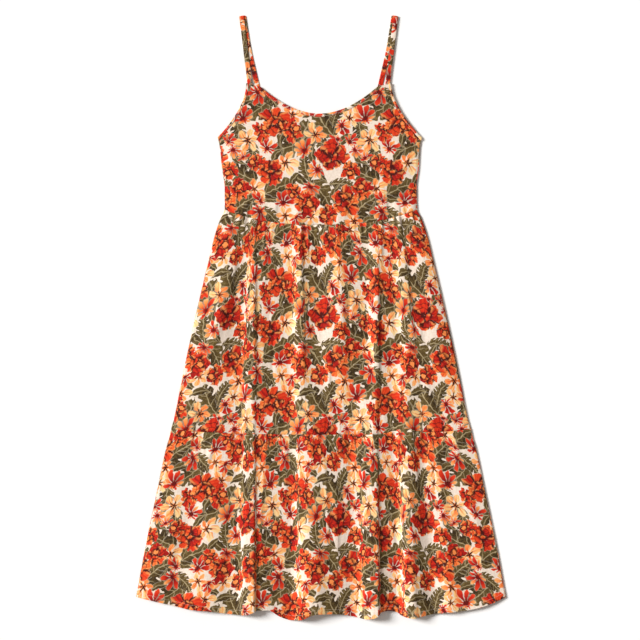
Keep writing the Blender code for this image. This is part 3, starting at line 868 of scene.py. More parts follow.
def smooth_through(at: Array, knots: Array, values: Array) -> Array:
    """Values on a smooth curve through the knots that never overshoots them.

    Args:
        at: the places to read.
        knots: the known places, rising.
        values: the values there.

    Returns:
        The values at the places.
    """
    knots = np.asarray(knots, float)
    values = np.asarray(values, float)
    widths = np.diff(knots)
    slopes = np.diff(values) / widths
    before, after = slopes[:-1], slopes[1:]
    turns = before * after > 0
    safe = np.where(turns, before + after, 1.0)
    tangents = np.zeros_like(values)
    tangents[1:-1] = np.where(turns, 2 * before * after / safe, 0.0)
    tangents[0], tangents[-1] = slopes[0], slopes[-1]
    at = np.clip(at, knots[0], knots[-1])
    i = np.clip(np.searchsorted(knots, at, side="right") - 1, 0, len(widths) - 1)
    t = (at - knots[i]) / widths[i]
    start = (1 + 2 * t) * (1 - t) ** 2 * values[i] + t * (1 - t) ** 2 * widths[i] * tangents[i]
    end = t * t * (3 - 2 * t) * values[i + 1] - t * t * (1 - t) * widths[i] * tangents[i + 1]
    return start + end


def read(rows: tuple, known: str, wanted: str, at: Array) -> Array:
    """One column of a table on a smooth curve, at places in another of its columns.

    Args:
        rows: the table.
        known: the column that the places are in, which rises.
        wanted: the column to read.
        at: the places.

    Returns:
        The values at the places.
    """
    knots, values = (np.array([getattr(row, name) for row in rows], float) for name in (known, wanted))
    return smooth_through(at, knots, values)


def spread(density: Array, places: Array, count: int) -> Array:
    """Places that lie closer together where the density is higher.

    Args:
        density: the density at each of the given places.
        places: the places it is known at, rising.
        count: how many places are wanted.

    Returns:
        That many places, from the first to the last.
    """
    steps = np.diff(places) * (density[1:] + density[:-1]) / 2
    total = np.concatenate([[0], np.cumsum(steps)])
    return np.interp(np.linspace(0, total[-1], count), total, places)


def creased(points: Array, creases: tuple[Crease, ...] | list[Crease]) -> Array:
    """How far a table of creases lifts each point.

    Args:
        points: places across and along the dress.
        creases: the ridges and valleys.

    Returns:
        The lift in millimetres.
    """
    lift = np.zeros(points.shape[:-1])
    for crease in creases:
        run = np.array([crease.to_x - crease.x, crease.to_y - crease.y])
        length = math.hypot(*run)
        run = run / length
        away = points[..., :2] - (crease.x, crease.y)
        along = away @ run / length
        # The line bends a little, by a fifteenth of its length.
        bend = 0.06 * length * np.sin(np.pi * np.clip(along, 0, 1)) * math.sin(crease.x + crease.y)
        across = away[..., 0] * -run[1] + away[..., 1] * run[0] - bend
        if run[1] < 0:
            across = -across
        # Across points left of a line that climbs, so right of it is negative.
        reach = np.where(across > 0, crease.left, crease.right)
        taper = ease(along * 4) * ease((1 - along) * 1.6)
        lift += crease.height * taper * np.exp(-((across / reach) ** 2))
    return lift


def gathers(
    seed: int,
    seam: Line,
    half: float,
    pitch: float,
    height: float,
    direction: int = -1,
) -> list[Crease]:
    """Small uneven creases that start in a seam.

    Args:
        seed: picks one set of them.
        seam: gives the seam's height at a place across.
        half: half the seam's width.
        pitch: their mean spacing.
        height: the mean height.
        direction: -1 where they run down from the seam, 1 where they run up.

    Returns:
        The creases.
    """
    chance = np.random.default_rng(seed)
    found = []
    x = -half + 0.6 * pitch
    while x < half - 0.5 * pitch:
        # Most are 16 to 44 mm long, and a few reach up to 60 mm further.
        length = chance.uniform(16, 44) + 60 * chance.random() ** 3
        drift = 0.22 * length * x / half * (1 if direction < 0 else -0.4) + chance.normal(0, 1.4)
        tall = height * chance.uniform(0.45, 1.4)
        start = float(seam(np.array(x)))
        wide = chance.uniform(0.16, 0.34) * pitch
        end = start + direction * length
        found.append(Crease(x, start - direction * 9, x + drift, end, tall, wide * 1.3, wide))
        x += pitch * chance.uniform(0.55, 1.5)
    return found


def run_along(line: Array) -> Array:
    """The distance from a line's start to each of its points."""
    return np.concatenate([[0], np.cumsum(np.linalg.norm(np.diff(line, axis=0), axis=1))])


def on_bias(run: Array, across: Array, start: tuple[float, float]) -> Array:
    """Places on the flat cloth for a strip cut at 45 degrees to the weave.

    Args:
        run: distances along the strip, as rows or columns.
        across: distances across it, the other way round.
        start: where its cut starts in the print.

    Returns:
        The places, rows by columns.
    """
    return np.stack([run - across, run + across], axis=-1) * math.sqrt(0.5) + start


@dataclass(frozen=True)
class Lay:
    """How the dress lies: its outline, its seams and how far each part stands up, in millimetres."""

    front_level: float = 2.7
    waist_half: float = 193.0
    waist_low: float = 185.0
    waist_rise: float = 31.0
    tier_half: float = 300.0
    tier_low: float = -234.0
    tier_rise: float = 11.0
    tier_bump: float = 10.0
    tier_bump_x: float = 166.0
    tier_bump_reach: float = 30.0
    hem_half: float = 370.0
    hem_side: float = -559.0
    back_hem_drop: float = 24.0
    puff: float = 4.5
    puff_from: float = 300.0
    puff_to: float = 460.0
    puff_at_top: float = 0.2
    waist_folds_fade: float = 60.0
    lean: float = -4.5
    lean_from: float = 215.0
    lean_to: float = 467.0
    roll: float = 3.6
    roll_depth: float = 1.25
    groove: float = 2.6
    groove_depth: float = 1.3
    back_dip: float = 0.5
    over_seam: float = 0.4

    def half_width(self, y: Array) -> Array:
        """Half the dress's width at a height."""
        return read(SIDES, "y", "half", y)

    def waist_seam(self, x: Array) -> Array:
        """The waist seam's height."""
        return self.waist_low + self.waist_rise * np.abs(x / self.waist_half) ** 2.5

    def back_tier_seam(self, x: Array) -> Array:
        """The height of the seam between the tiers at the back."""
        return self.tier_low + self.tier_rise * np.abs(x / self.tier_half) ** 3

    def front_tier_seam(self, x: Array) -> Array:
        """The same seam at the front, lifted where the right-hand fold stands up."""
        bump = np.exp(-(((x - self.tier_bump_x) / self.tier_bump_reach) ** 2))
        return self.back_tier_seam(x) + self.tier_bump * bump

    def back_hem(self, x: Array) -> Array:
        """The back hem's height."""
        return self.hem_side - self.back_hem_drop * (1 - (x / self.hem_half) ** 2)

    def front_hem(self, x: Array) -> Array:
        """The front hem's height."""
        return read(LOWER_FOLDS, "hem_x", "hem_y", x)

    def hem_up(self, x: Array) -> Array:
        """How far the front's hem stands up."""
        return read(LOWER_FOLDS, "hem_x", "hem_up", x)

    def waist_up(self, x: Array) -> Array:
        """How far the front's waist seam stands up."""
        return read(UPPER_FOLDS, "waist_x", "waist_up", x)

    def tier_up(self, x: Array) -> Array:
        """How far the front's tier seam stands up."""
        return read(LOWER_FOLDS, "tier_x", "tier_up", x)

    def bodice_up(self, x: Array, y: Array) -> Array:
        """How far the bodice's front stands up."""
        share = np.abs(x) / self.half_width(y)
        puff = self.puff * np.clip(1 - share**3, 0, 1)
        fade = ease((y - self.puff_from) / (self.puff_to - self.puff_from))
        puff = puff * (1 - (1 - self.puff_at_top) * fade)
        near_waist = 1 - ease((y - self.waist_seam(x)) / self.waist_folds_fade)
        return puff + (self.waist_up(x) - puff) * near_waist

    def side_roll(self, points: Array) -> Array:
        """How far the cloth turns in towards the side seams."""
        room = self.half_width(points[..., 1]) - np.abs(points[..., 0])
        left = 1 - np.clip(room / self.roll, 0, 1)
        return self.roll_depth * (1 - np.sqrt(1 - left**2))

    def seam_dip(self, distance: Array) -> Array:
        """How far the cloth turns down into a seam, by the distance from it."""
        left = 1 - np.clip(distance / self.groove, 0, 1)
        return self.groove_depth * left**2

    def turned_down(self, points: Array, dip: Array) -> Array:
        """How far the front turns down at its side seams and into its cross seams."""
        return np.maximum(self.side_roll(points), dip)

    def leaned(self, points: Array) -> Array:
        """The points with the dress's top leaning a little to the left."""
        share = np.clip((points[..., 1] - self.lean_from) / (self.lean_to - self.lean_from), 0, 1)
        points = points.copy()
        points[..., 0] += self.lean * share
        return points


LAY = Lay()


def sheet_mesh(
    name: str, points: Array, flat: Array, up: bool, thickness: float
) -> Piece:
    """A thin shell of cloth through a grid of points.

    Args:
        name: the piece's name.
        points: the right side of the cloth, rows from the hem up by columns from the left, in millimetres.
        flat: each point's place on the flat cloth in millimetres.
        up: whether the right side faces up.
        thickness: the cloth's thickness in millimetres.

    Returns:
        The piece.
    """
    rows, columns = points.shape[:2]
    points = LAY.leaned(points)
    if not up:
        points = points[:, ::-1]
        flat = flat[:, ::-1]
    bpy.ops.object.select_all(action="DESELECT")
    bpy.ops.mesh.primitive_grid_add(x_subdivisions=columns - 1, y_subdivisions=rows - 1, size=1)
    piece = bpy.context.object
    piece.name = name
    mesh = piece.data
    mesh.name = name
    mesh.vertices.foreach_set("co", (points.reshape(-1, 3) * MM).ravel())
    corners = np.empty(len(mesh.loops), int)
    mesh.loops.foreach_get("vertex_index", corners)
    layer = mesh.uv_layers[0]
    layer.name = FLAT_MAP
    layer.uv.foreach_set("vector", (flat.reshape(-1, 2)[corners] * MM).ravel())
    mesh.update()
    wall = piece.modifiers.new("wall", "SOLIDIFY")
    wall.thickness = thickness * MM
    wall.offset = -1
    bpy.ops.object.modifier_apply(modifier=wall.name)
    bpy.ops.object.shade_smooth_by_angle(angle=math.radians(50))
    return piece


@dataclass
class Stitching:
    """Rows of lock stitch: one small stitch is modelled and copied along each sewn line."""

    thread: Material
    pitch: float = 2.8
    length: float = 2.2
    width: float = 0.42
    height: float = 0.36

    def row(self, name: str, line: Array) -> Piece:
        """One row of stitches, half sunk in the cloth.

        Args:
            name: the piece's name.
            line: the sewn line on the cloth's upper face, in millimetres.

        Returns:
            The piece.
        """
        line = LAY.leaned(line)
        run = run_along(line)
        count = int(run[-1] / self.pitch)
        middles = np.linspace(self.pitch / 2, run[-1] - self.pitch / 2, count)
        reach = np.array([-0.5, 0.0, 0.5]) * self.length
        places = middles[:, None] + reach
        spots = np.stack([np.interp(places, run, line[:, axis]) for axis in range(3)], axis=2) * MM
        bpy.ops.object.select_all(action="DESELECT")
        bpy.ops.mesh.primitive_uv_sphere_add(
            segments=6, ring_count=4, radius=0.5, rotation=(0, math.pi / 2, 0)
        )
        stitch = bpy.context.object
        bpy.ops.object.transform_apply(location=False, rotation=True, scale=False)
        copies = []
        for start, middle, end in spots:
            copy = stitch.copy()
            copy.data = stitch.data.copy()
            along = Vector(end - start).normalized()
            side = Vector((0, 0, 1)).cross(along).normalized()
            axes = Matrix((along, side, along.cross(side))).transposed().to_4x4()
            size = Matrix.Diagonal((self.length * MM, self.width * MM, self.height * MM, 1))
            copy.matrix_world = Matrix.Translation(Vector(middle)) @ axes @ size
            bpy.context.collection.objects.link(copy)
            copies.append(copy)
        bpy.data.objects.remove(stitch)
        bpy.ops.object.select_all(action="DESELECT")
        for copy in copies:
            copy.select_set(True)
        bpy.context.view_layer.objects.active = copies[0]
        bpy.ops.object.join()
        piece = bpy.context.object
        bpy.ops.object.transform_apply(location=True, rotation=True, scale=True)
        bpy.ops.object.shade_smooth()
        piece.name = name
        piece.data.name = name
        piece.data.materials.append(self.thread)
        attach(piece, "root")
        LOG.info("%s: %d stitches", name, count)
        return piece


def fit(piece: Piece, material: Material, slot: str, *nodes: str) -> None:
    """Gives a piece its finish and its place in the frame.

    Args:
        piece: the new piece.
        material: its finish.
        slot: the record's material slot; not used.
        *nodes: the CAD nodes that it stands for.
    """
    piece.data.materials.clear()
    piece.data.materials.append(material)
    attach(piece, "root")
    if nodes:
        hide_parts(*nodes)
    LOG.info("%s: %d faces", piece.name, len(piece.data.polygons))


def end_density(distance: Array, far: Array) -> Array:
    """Rows lie close together at both seams, and closer than average where the gathers start."""
    return 1 + 3.5 * np.exp(-distance / 5) + 1.2 * np.exp(-distance / 50) + 3.5 * np.exp(-far / 5)


def tier_points(
    start_x: Array, end_x: Array, start_y: Array, end_y: Array, shares: Array
) -> Array:
    """A tier's points, seen from above: columns fan out as fast as the sides do.

    Args:
        start_x: each column's place in the upper seam.
        end_x: its place at the lower edge.
        start_y: the upper seam's height there.
        end_y: the lower edge's height.
        shares: each row's share of the way down.

    Returns:
        The points, rows by columns.
    """
    side_y = start_y[0] + (end_y[0] - start_y[0]) * shares
    start_half, end_half = abs(start_x[0]), abs(end_x[0])
    fan = (LAY.half_width(side_y) - start_half) / (end_half - start_half)
    fan[0], fan[-1] = 0.0, 1.0
    points = np.zeros((len(shares), len(start_x), 3))
    points[..., 0] = start_x + (end_x - start_x) * fan[:, None]
    points[..., 1] = start_y + (end_y - start_y) * shares[:, None]
    return points


def tier_shares(length: float, rows: int) -> Array:
    """Shares of the way down a tier, from its upper edge to its lower one."""
    places = np.linspace(0, length, 800)
    return spread(end_density(places, length - places), places, rows) / length


def fold_shares(up: Array, places: Array) -> Array:
    """Where the folds' steep sides take up cloth.

    Args:
        up: how far the folds stand up at each place.
        places: the places across the panel.

    Returns:
        Each gap's share of the hidden cloth.
    """
    steep = np.abs(np.diff(up) / np.diff(places)) ** 3
    taken = steep * np.diff(places)
    return taken / taken.sum()


def gather_shares(small: list[Crease], places: Array) -> Array:
    """Where the gathers take up cloth: on the steep side of each.

    Args:
        small: the gathers.
        places: the places along the seam.

    Returns:
        Each gap's share of the hidden cloth.
    """
    middles = (places[1:] + places[:-1]) / 2
    taken = np.full(len(middles), 1e-4)
    for crease in small:
        taken += crease.height * np.exp(-(((middles - crease.x - 0.8 * crease.right) / 1.5) ** 2))
    taken *= np.diff(places)
    return taken / taken.sum()


def flat_across(
    x: Array, width: float, folds: Array, small: Array, below: Array, fade: float
) -> Array:
    """Each point's place across the flat cloth, whose hidden width lies in gathers and folds.

    Args:
        x: the points' places across the dress, rows by columns.
        width: the flat cloth's width.
        folds: the share of hidden cloth in each gap that folds take up.
        small: the share that gathers take up.
        below: each row's distance below the seam.
        fade: the distance over which the gathers die out.

    Returns:
        The places, rows by columns.
    """
    seen = np.diff(x, axis=1)
    hidden = width - seen.sum(axis=1)
    gathered = 0.65 * np.exp(-below / fade)[:, None]
    shares = gathered * small[None, :] + (1 - gathered) * folds[None, :]
    steps = seen + hidden[:, None] * shares
    start = np.zeros((len(x), 1))
    return np.concatenate([start, np.cumsum(steps, axis=1)], axis=1) - width / 2


def column_places(fine: Array, steep: Array | float, crowd: float, count: int) -> Array:
    """Columns lie closer together on the steep sides of folds and at the side seams.

    Args:
        fine: places across the seam, from one side to the other.
        steep: what the folds add to it there.
        crowd: what the side seams add to the density, which is 1 on flat cloth.
        count: how many columns are wanted.

    Returns:
        Each column's place.
    """
    edge = fine[-1] - np.abs(fine)
    return spread(1 + steep + crowd * np.exp(-edge / 3), fine, count)


@dataclass
class Tier:
    """What both tiers of the skirt share: panels gathered into a seam, which fan out to their lower edge.

    Widths, lengths, pitches and heights are in millimetres. A cut is where a panel starts in the print, and
    the creases are the front's.
    """

    name: str
    front_seam: Line
    back_seam: Line
    front_edge: Line
    back_edge: Line
    folds: tuple
    fold_starts: str
    fold_ends: str
    seam_half: float
    edge_half: float
    columns: int
    rows: int
    back_columns: int
    length: float
    back_length: float
    flat_width: float
    flat_length: float
    fine_places: int
    crowding: float
    gather_seed: int
    gather_pitch: float
    gather_height: float
    gather_fade: float
    back_gather_seed: int
    back_gather_pitch: float
    creases: tuple[Crease, ...]
    cut: tuple[float, float]
    back_cut: tuple[float, float]
    back_rows: int = 90
    back_fine_places: int = 800
    back_gather_height: float = 0.55
    back_crease_most: float = 1.1
    back_flat_side: float = 30.0
    side_crowd: float = 2.5
    back_side_crowd: float = 3.0
    edge_groove: float = 0.0
    under_seam: float = 0.0
    pucker_seed: int = 12
    pucker_pitch: float = 9.0
    pucker_height: float = 0.0
    hem_depth: float = 11.0
    hem_step: float = 0.0
    thickness: float = 0.8

    def hem(self, above: Array) -> Array:
        """How far a turned hem stands out, by the distance above its edge."""
        return self.hem_step * (1 - ease((above - self.hem_depth) / 1.2))

    def edge_x(self, places: Array) -> Array:
        """Where the front's columns end, by their places in the seam."""
        return read(self.folds, self.fold_starts, self.fold_ends, places)

    def folds_up(self, places: Array) -> Array:
        """How far the front's folds stand up, by their places in the seam. Each tier says."""
        raise NotImplementedError

    def lying(self, places: Array, edge_x: Array, shares: Array) -> Array:
        """How far the front stands up, by each column's ends and each row's share. Each tier says."""
        raise NotImplementedError

    def front(self) -> tuple[Piece, Array]:
        """The front panel and its points, from the seam down."""
        fine = np.linspace(-self.seam_half, self.seam_half, self.fine_places)
        steep = self.crowding * np.abs(np.gradient(self.folds_up(fine), fine))
        places = column_places(fine, steep, self.side_crowd, self.columns)
        edge_x = self.edge_x(places)
        edge_y = self.front_edge(edge_x) - self.under_seam
        shares = tier_shares(self.length, self.rows)
        points = tier_points(places, edge_x, self.front_seam(places) + LAY.over_seam, edge_y, shares)
        up = self.lying(places, edge_x, shares[:, None])
        small = gathers(
            self.gather_seed, self.front_seam, self.seam_half, self.gather_pitch, self.gather_height
        )
        creases = [*self.creases, *small]
        if self.pucker_height:
            size = self.pucker_pitch, self.pucker_height
            creases += gathers(self.pucker_seed, self.front_edge, self.edge_half, *size, direction=1)
        lift = creased(points, creases)
        below = self.front_seam(points[..., 0]) - points[..., 1]
        above = points[..., 1] - edge_y
        dip = LAY.seam_dip(np.abs(below)) + self.edge_groove * LAY.seam_dip(np.abs(above))
        height = LAY.front_level + up + lift * np.clip(up, 0, 1) - LAY.turned_down(points, dip)
        points[..., 2] = height + self.hem(above)
        flat = points[..., :2].copy()
        taken = fold_shares(points[self.rows // 2, :, 2], places), gather_shares(small, places)
        down = below[:, self.columns // 2]
        flat[..., 0] = flat_across(points[..., 0], self.flat_width, *taken, down, self.gather_fade)
        flat += self.cut
        return sheet_mesh(f"{self.name}_front", points[::-1], flat[::-1], True, self.thickness), points

    def back(self) -> tuple[Piece, Array]:
        """The back panel, flat on the surface below, and its points, from the seam down."""
        fine = np.linspace(-self.seam_half, self.seam_half, self.back_fine_places)
        places = column_places(fine, 0.0, self.back_side_crowd, self.back_columns)
        edge_x = places * self.edge_half / self.seam_half
        edge_y = self.back_edge(edge_x) - self.under_seam
        shares = tier_shares(self.back_length, self.back_rows)
        points = tier_points(places, edge_x, self.back_seam(places) + LAY.over_seam, edge_y, shares)
        small = gathers(
            self.back_gather_seed, self.back_seam, self.seam_half, self.back_gather_pitch,
            self.back_gather_height,
        )
        lift = np.clip(creased(points, [*BACK_CREASES, *small]), 0, self.back_crease_most)
        room = LAY.half_width(points[..., 1]) - np.abs(points[..., 0])
        dip = LAY.seam_dip(np.abs(points[..., 1] - self.back_seam(points[..., 0])))
        height = lift * np.clip(room / self.back_flat_side, 0, 1) + LAY.side_roll(points)
        hem = self.hem_step - self.hem(points[..., 1] - edge_y)
        points[..., 2] = height + LAY.back_dip * dip + hem
        flat = points[..., :2].copy()
        flat[..., 0] = places * self.flat_width / 2 / self.seam_half
        flat += self.back_cut
        return sheet_mesh(f"{self.name}_back", points[::-1], flat[::-1], False, self.thickness), points


@dataclass
class UpperTier(Tier):
    """The skirt's upper tier, gathered into the waist seam."""

    name: str = "upper_tier"
    front_seam: Line = LAY.waist_seam
    back_seam: Line = LAY.waist_seam
    front_edge: Line = LAY.front_tier_seam
    back_edge: Line = LAY.back_tier_seam
    folds: tuple = UPPER_FOLDS
    fold_starts: str = "waist_x"
    fold_ends: str = "tier_x"
    seam_half: float = LAY.waist_half
    edge_half: float = LAY.tier_half
    columns: int = 226
    rows: int = 150
    back_columns: int = 130
    length: float = 420.0
    back_length: float = 420.0
    flat_width: float = 660.0
    flat_length: float = 430.0
    fine_places: int = 1600
    crowding: float = 0.9
    gather_seed: int = 11
    gather_pitch: float = 11.0
    gather_height: float = 2.0
    gather_fade: float = 130.0
    back_gather_seed: int = 21
    back_gather_pitch: float = 13.0
    creases: tuple[Crease, ...] = UPPER_CREASES
    cut: tuple[float, float] = (31.0, 47.0)
    back_cut: tuple[float, float] = (97.0, 121.0)
    edge_groove: float = 0.6
    under_seam: float = 0.2
    pucker_height: float = 0.6

    def build(self, cloth: Material) -> None:
        """Builds and dresses both panels."""
        front, _ = self.front()
        fit(front, cloth, "printed_cloth", "skirt_upper_front")
        back, _ = self.back()
        fit(back, cloth, "printed_cloth", "skirt_upper_back")

    def folds_up(self, places: Array) -> Array:
        """How far the front's folds stand up halfway down."""
        return read(self.folds, self.fold_starts, "middle_up", places)

    def lying(self, places: Array, tier_x: Array, shares: Array) -> Array:
        """How far the front stands up, by each column's ends and each row's share."""
        waist_up, middle, tier_up = LAY.waist_up(places), self.folds_up(places), LAY.tier_up(tier_x)
        up = waist_up + (middle - waist_up) * ease(2 * shares)
        return up + (tier_up - middle) * ease(2 * shares - 1)


@dataclass
class LowerTier(Tier):
    """The skirt's lower tier, gathered into the tier seam, with a turned hem."""

    name: str = "lower_tier"
    front_seam: Line = LAY.front_tier_seam
    back_seam: Line = LAY.back_tier_seam
    front_edge: Line = LAY.front_hem
    back_edge: Line = LAY.back_hem
    folds: tuple = LOWER_FOLDS
    fold_starts: str = "tier_x"
    fold_ends: str = "hem_x"
    seam_half: float = LAY.tier_half
    edge_half: float = LAY.hem_half
    columns: int = 270
    rows: int = 146
    back_columns: int = 150
    length: float = 352.0
    back_length: float = 340.0
    flat_width: float = 880.0
    flat_length: float = 360.0
    fine_places: int = 2400
    crowding: float = 0.5
    gather_seed: int = 31
    gather_pitch: float = 12.0
    gather_height: float = 1.7
    gather_fade: float = 110.0
    back_gather_seed: int = 41
    back_gather_pitch: float = 14.0
    creases: tuple[Crease, ...] = LOWER_CREASES
    cut: tuple[float, float] = (4.0, -18.0)
    back_cut: tuple[float, float] = (66.0, 92.0)
    hem_step: float = 0.45
    sewn_below: float = 1.6

    def build(self, cloth: Material, stitching: Stitching) -> None:
        """Builds and dresses both panels and sews their hems."""
        front, points = self.front()
        fit(front, cloth, "printed_cloth", "skirt_lower_front")
        sewn_front = stitching.row("hem_stitches_front", self.sewn_line(points, 0.0))
        back, points = self.back()
        fit(back, cloth, "printed_cloth", "skirt_lower_back")
        sewn_back = stitching.row("hem_stitches_back", self.sewn_line(points, self.thickness))

    def sewn_line(self, points: Array, lift: float) -> Array:
        """The hem's sewn line on a panel's upper face.

        Args:
            points: the panel's points, from its upper seam down.
            lift: the upper face's height above them.

        Returns:
            The line, left to right.
        """
        line = []
        for x, y, z in points.transpose(1, 2, 0)[2:-2, :, ::-1]:
            place = y[0] + self.hem_depth - self.sewn_below
            line.append((np.interp(place, y, x), place, np.interp(place, y, z) + lift))
        return np.array(line)

    def folds_up(self, places: Array) -> Array:
        """How far the front's folds stand up at the hem."""
        return LAY.hem_up(self.edge_x(places))

    def lying(self, places: Array, hem_x: Array, shares: Array) -> Array:
        """How far the front stands up, by each column's ends and each row's share."""
        tier_up = LAY.tier_up(places)
        return tier_up + (LAY.hem_up(hem_x) - tier_up) * shares


# A binding's cross section: the share of the way in from its edge, and the height in millimetres.
BAND_PROFILE = (
    (1.05, -0.1), (1.01, 0.3), (0.93, 0.56), (0.75, 0.78), (0.5, 0.85), (0.25, 0.72),
    (0.08, 0.4), (0.0, -0.2), (0.05, -0.8), (0.25, -1.15), (0.6, -1.2), (0.95, -1.2),
)
# The places in it where the stitches go through, on the front panel and on the back one.
SEWN_ABOVE = 3
SEWN_BELOW = 10


@dataclass
class Bodice:
    """The bodice: a front and a back, with bias bindings round the neckline and the armholes."""

    rows: int = 118
    back_rows: int = 70
    neck_steps: int = 78
    arm_steps: int = 42
    back_neck_steps: int = 48
    back_arm_steps: int = 26
    thickness: float = 0.8
    neck_binding: float = 6.4
    arm_binding: float = 5.0
    binding_thickness: float = 0.5
    underarm: tuple[float, float] = (204.0, 361.0)
    side_binding_end: float = 354.5
    neck_roundness: float = 1.9
    arm_roundness: float = 1.8
    back_level: float = 0.6
    back_swell: float = 0.5
    cut: tuple[float, float] = (12.0, 203.0)
    back_cut: tuple[float, float] = (80.0, 20.0)
    neck_cut: float = 17.0
    arm_cut: float = 61.0
    arm_cut_apart: float = 40.0

    def build(self, cloth: Material, binding: Material, stitching: Stitching) -> None:
        """Builds and dresses the panels and their bindings, and sews the bindings on."""
        back = self.panel("bodice_back_panel", BACK_TOP, False)
        fit(back, cloth, "printed_cloth", "bodice_back")
        front = self.panel("bodice_front_panel", FRONT_TOP, True)
        fit(front, cloth, "printed_cloth", "bodice_front")
        for place, top in (("front", FRONT_TOP), ("back", BACK_TOP)):
            up = place == "front"
            edge = self.neck_edge(top, self.neck_steps)
            neck, line = self.band(f"neck_band_{place}", edge, self.inner_neck(top, edge), up, self.neck_cut)
            fit(neck, binding, "binding_cloth", f"neck_binding_{place}")
            sewn = stitching.row(f"neck_stitches_{place}", line)
            edge = self.arm_edge(top, self.arm_steps)
            inside = self.inner_arm(top, edge)
            for hand, mirror in (("left", -1), ("right", 1)):
                turned = slice(None, None, mirror)
                arm, line = self.band(
                    f"armhole_band_{place}_{hand}",
                    (edge * (mirror, 1))[turned],
                    (inside * (mirror, 1))[turned],
                    up,
                    self.arm_cut + self.arm_cut_apart * mirror,
                )
                fit(arm, binding, "binding_cloth", f"armhole_binding_{place}_{hand}")
                sewn = stitching.row(f"armhole_stitches_{place}_{hand}", line)

    def neck_edge(self, top: TopEdge, steps: int) -> Array:
        """The finished neckline, left to right."""
        share = np.linspace(-1, 1, steps + 1)
        y = top.neck_low + (top.neck_high - top.neck_low) * np.abs(share) ** self.neck_roundness
        return np.stack([share * top.neck_half, y], axis=1)

    def arm_edge(self, top: TopEdge, steps: int) -> Array:
        """The finished right armhole, from the strap down to the underarm."""
        share = np.linspace(0, 1, steps + 1)
        x = top.arm_x + (self.underarm[0] - top.arm_x) * share**self.arm_roundness
        y = top.arm_high - (top.arm_high - self.underarm[1]) * share
        return np.stack([x, y], axis=1)

    def shoulder(self, top: TopEdge, x: float) -> Array:
        """A point on the short edge between the neckline and the armhole."""
        share = (x - top.neck_half) / (top.arm_x - top.neck_half)
        return np.array([x, top.neck_high + (top.arm_high - top.neck_high) * share])

    def inner_neck(self, top: TopEdge, edge: Array) -> Array:
        """Where the neck binding meets the panel."""
        line = moved_in(edge, self.neck_binding)
        end = self.shoulder(top, top.neck_half + self.neck_binding + 1)
        line[-1] = end
        line[0] = end * (-1, 1)
        return line

    def inner_arm(self, top: TopEdge, edge: Array) -> Array:
        """Where the right armhole's binding meets the panel."""
        line = moved_in(edge, self.arm_binding)
        line[0] = self.shoulder(top, top.arm_x - self.arm_binding)
        line[-1] = (LAY.half_width(self.side_binding_end), self.side_binding_end)
        return line

    def panel(self, name: str, top: TopEdge, up: bool) -> Piece:
        """One panel, from the waist seam to under its bindings.

        Args:
            name: the piece's name.
            top: the finished top.
            up: whether it is the front.

        Returns:
            The piece.
        """
        neck_steps = self.neck_steps if up else self.back_neck_steps
        arm_steps = self.arm_steps if up else self.back_arm_steps
        neck = self.inner_neck(top, self.neck_edge(top, neck_steps))
        arm = self.inner_arm(top, self.arm_edge(top, arm_steps))
        middle = self.shoulder(top, (arm[0, 0] + neck[-1, 0]) / 2)
        left = arm[::-1] * (-1, 1)
        upper = np.concatenate([left, [middle * (-1, 1)], neck, [middle], arm])
        run = run_along(upper)
        along = run / run[-1] * 2 - 1
        straight = upper[:, 0] / upper[-1, 0]
        low_x = LAY.waist_half * (along + straight) / 2
        lower = np.stack([low_x, LAY.waist_seam(low_x) - LAY.over_seam], axis=1)
        rows = self.rows if up else self.back_rows
        places = np.linspace(0, 200, 600)
        shares = spread(1 + 3.5 * np.exp(-places / 5) + np.exp(-places / 50), places, rows) / 200
        points = np.zeros((rows, len(upper), 3))
        points[..., :2] = lower + (upper - lower) * shares[:, None, None]
        side = points[:, -1]
        bulge = LAY.half_width(side[:, 1]) - side[:, 0]
        points[..., 0] += bulge[:, None] * np.sign(low_x) * np.abs(low_x / LAY.waist_half) ** 6
        above = points[..., 1] - LAY.waist_seam(points[..., 0])
        dip = LAY.seam_dip(np.abs(above))
        if up:
            lying = LAY.bodice_up(points[..., 0], points[..., 1])
            small = gathers(51, LAY.waist_seam, LAY.waist_half, 13.0, 0.8, direction=1)
            lift = creased(points, [*BODICE_CREASES, *small])
            height = LAY.front_level + lying + lift * np.clip(lying, 0, 1) - LAY.turned_down(points, dip)
        else:
            small = gathers(61, LAY.waist_seam, LAY.waist_half, 15.0, 0.45, direction=1)
            lift = np.clip(creased(points, [*BACK_CREASES, *small]), 0, 1.1)
            height = lift + self.back_level * ease(above / 50) + LAY.side_roll(points) * 0.6
            height += LAY.back_dip * dip
        points[..., 2] = height
        flat = points[..., :2] + (self.cut if up else self.back_cut)
        return sheet_mesh(name, points, flat, up, self.thickness)

    def band(
        self, name: str, edge: Array, inside: Array, up: bool, start: float
    ) -> tuple[Piece, Array]:
        """A bias binding folded over an edge: a low dome on the right side and a flat fold behind.

        Args:
            name: the piece's name.
            edge: the finished edge, left to right.
            inside: where the binding meets the panel.
            up: whether it is on the front.
            start: where its cut starts in the print.

        Returns:
            The piece and the sewn line on its upper face.
        """
        share, rise = np.array(BAND_PROFILE).T
        run = run_along(edge)
        points = np.zeros((len(share), len(edge), 3))
        points[..., :2] = edge + (inside - edge) * share[:, None, None]
        pucker = 0.14 * np.sin(run / 2.3 + np.sin(run / 9.0) * 2) + 0.12 * np.sin(run / 5.1 + 1)
        swell = rise[:, None] + pucker * np.clip(rise, 0, 1)[:, None]
        if up:
            points[..., 2] = LAY.front_level + LAY.bodice_up(points[..., 0], points[..., 1]) + swell
        else:
            points[..., 2] = self.back_level - self.back_swell * swell
        flat = on_bias(run[None, :], run_along(points[:, 0])[:, None], (start, 3 * start))
        line = points[SEWN_ABOVE if up else SEWN_BELOW, 2:-2]
        return sheet_mesh(name, points, flat, up, self.binding_thickness), line


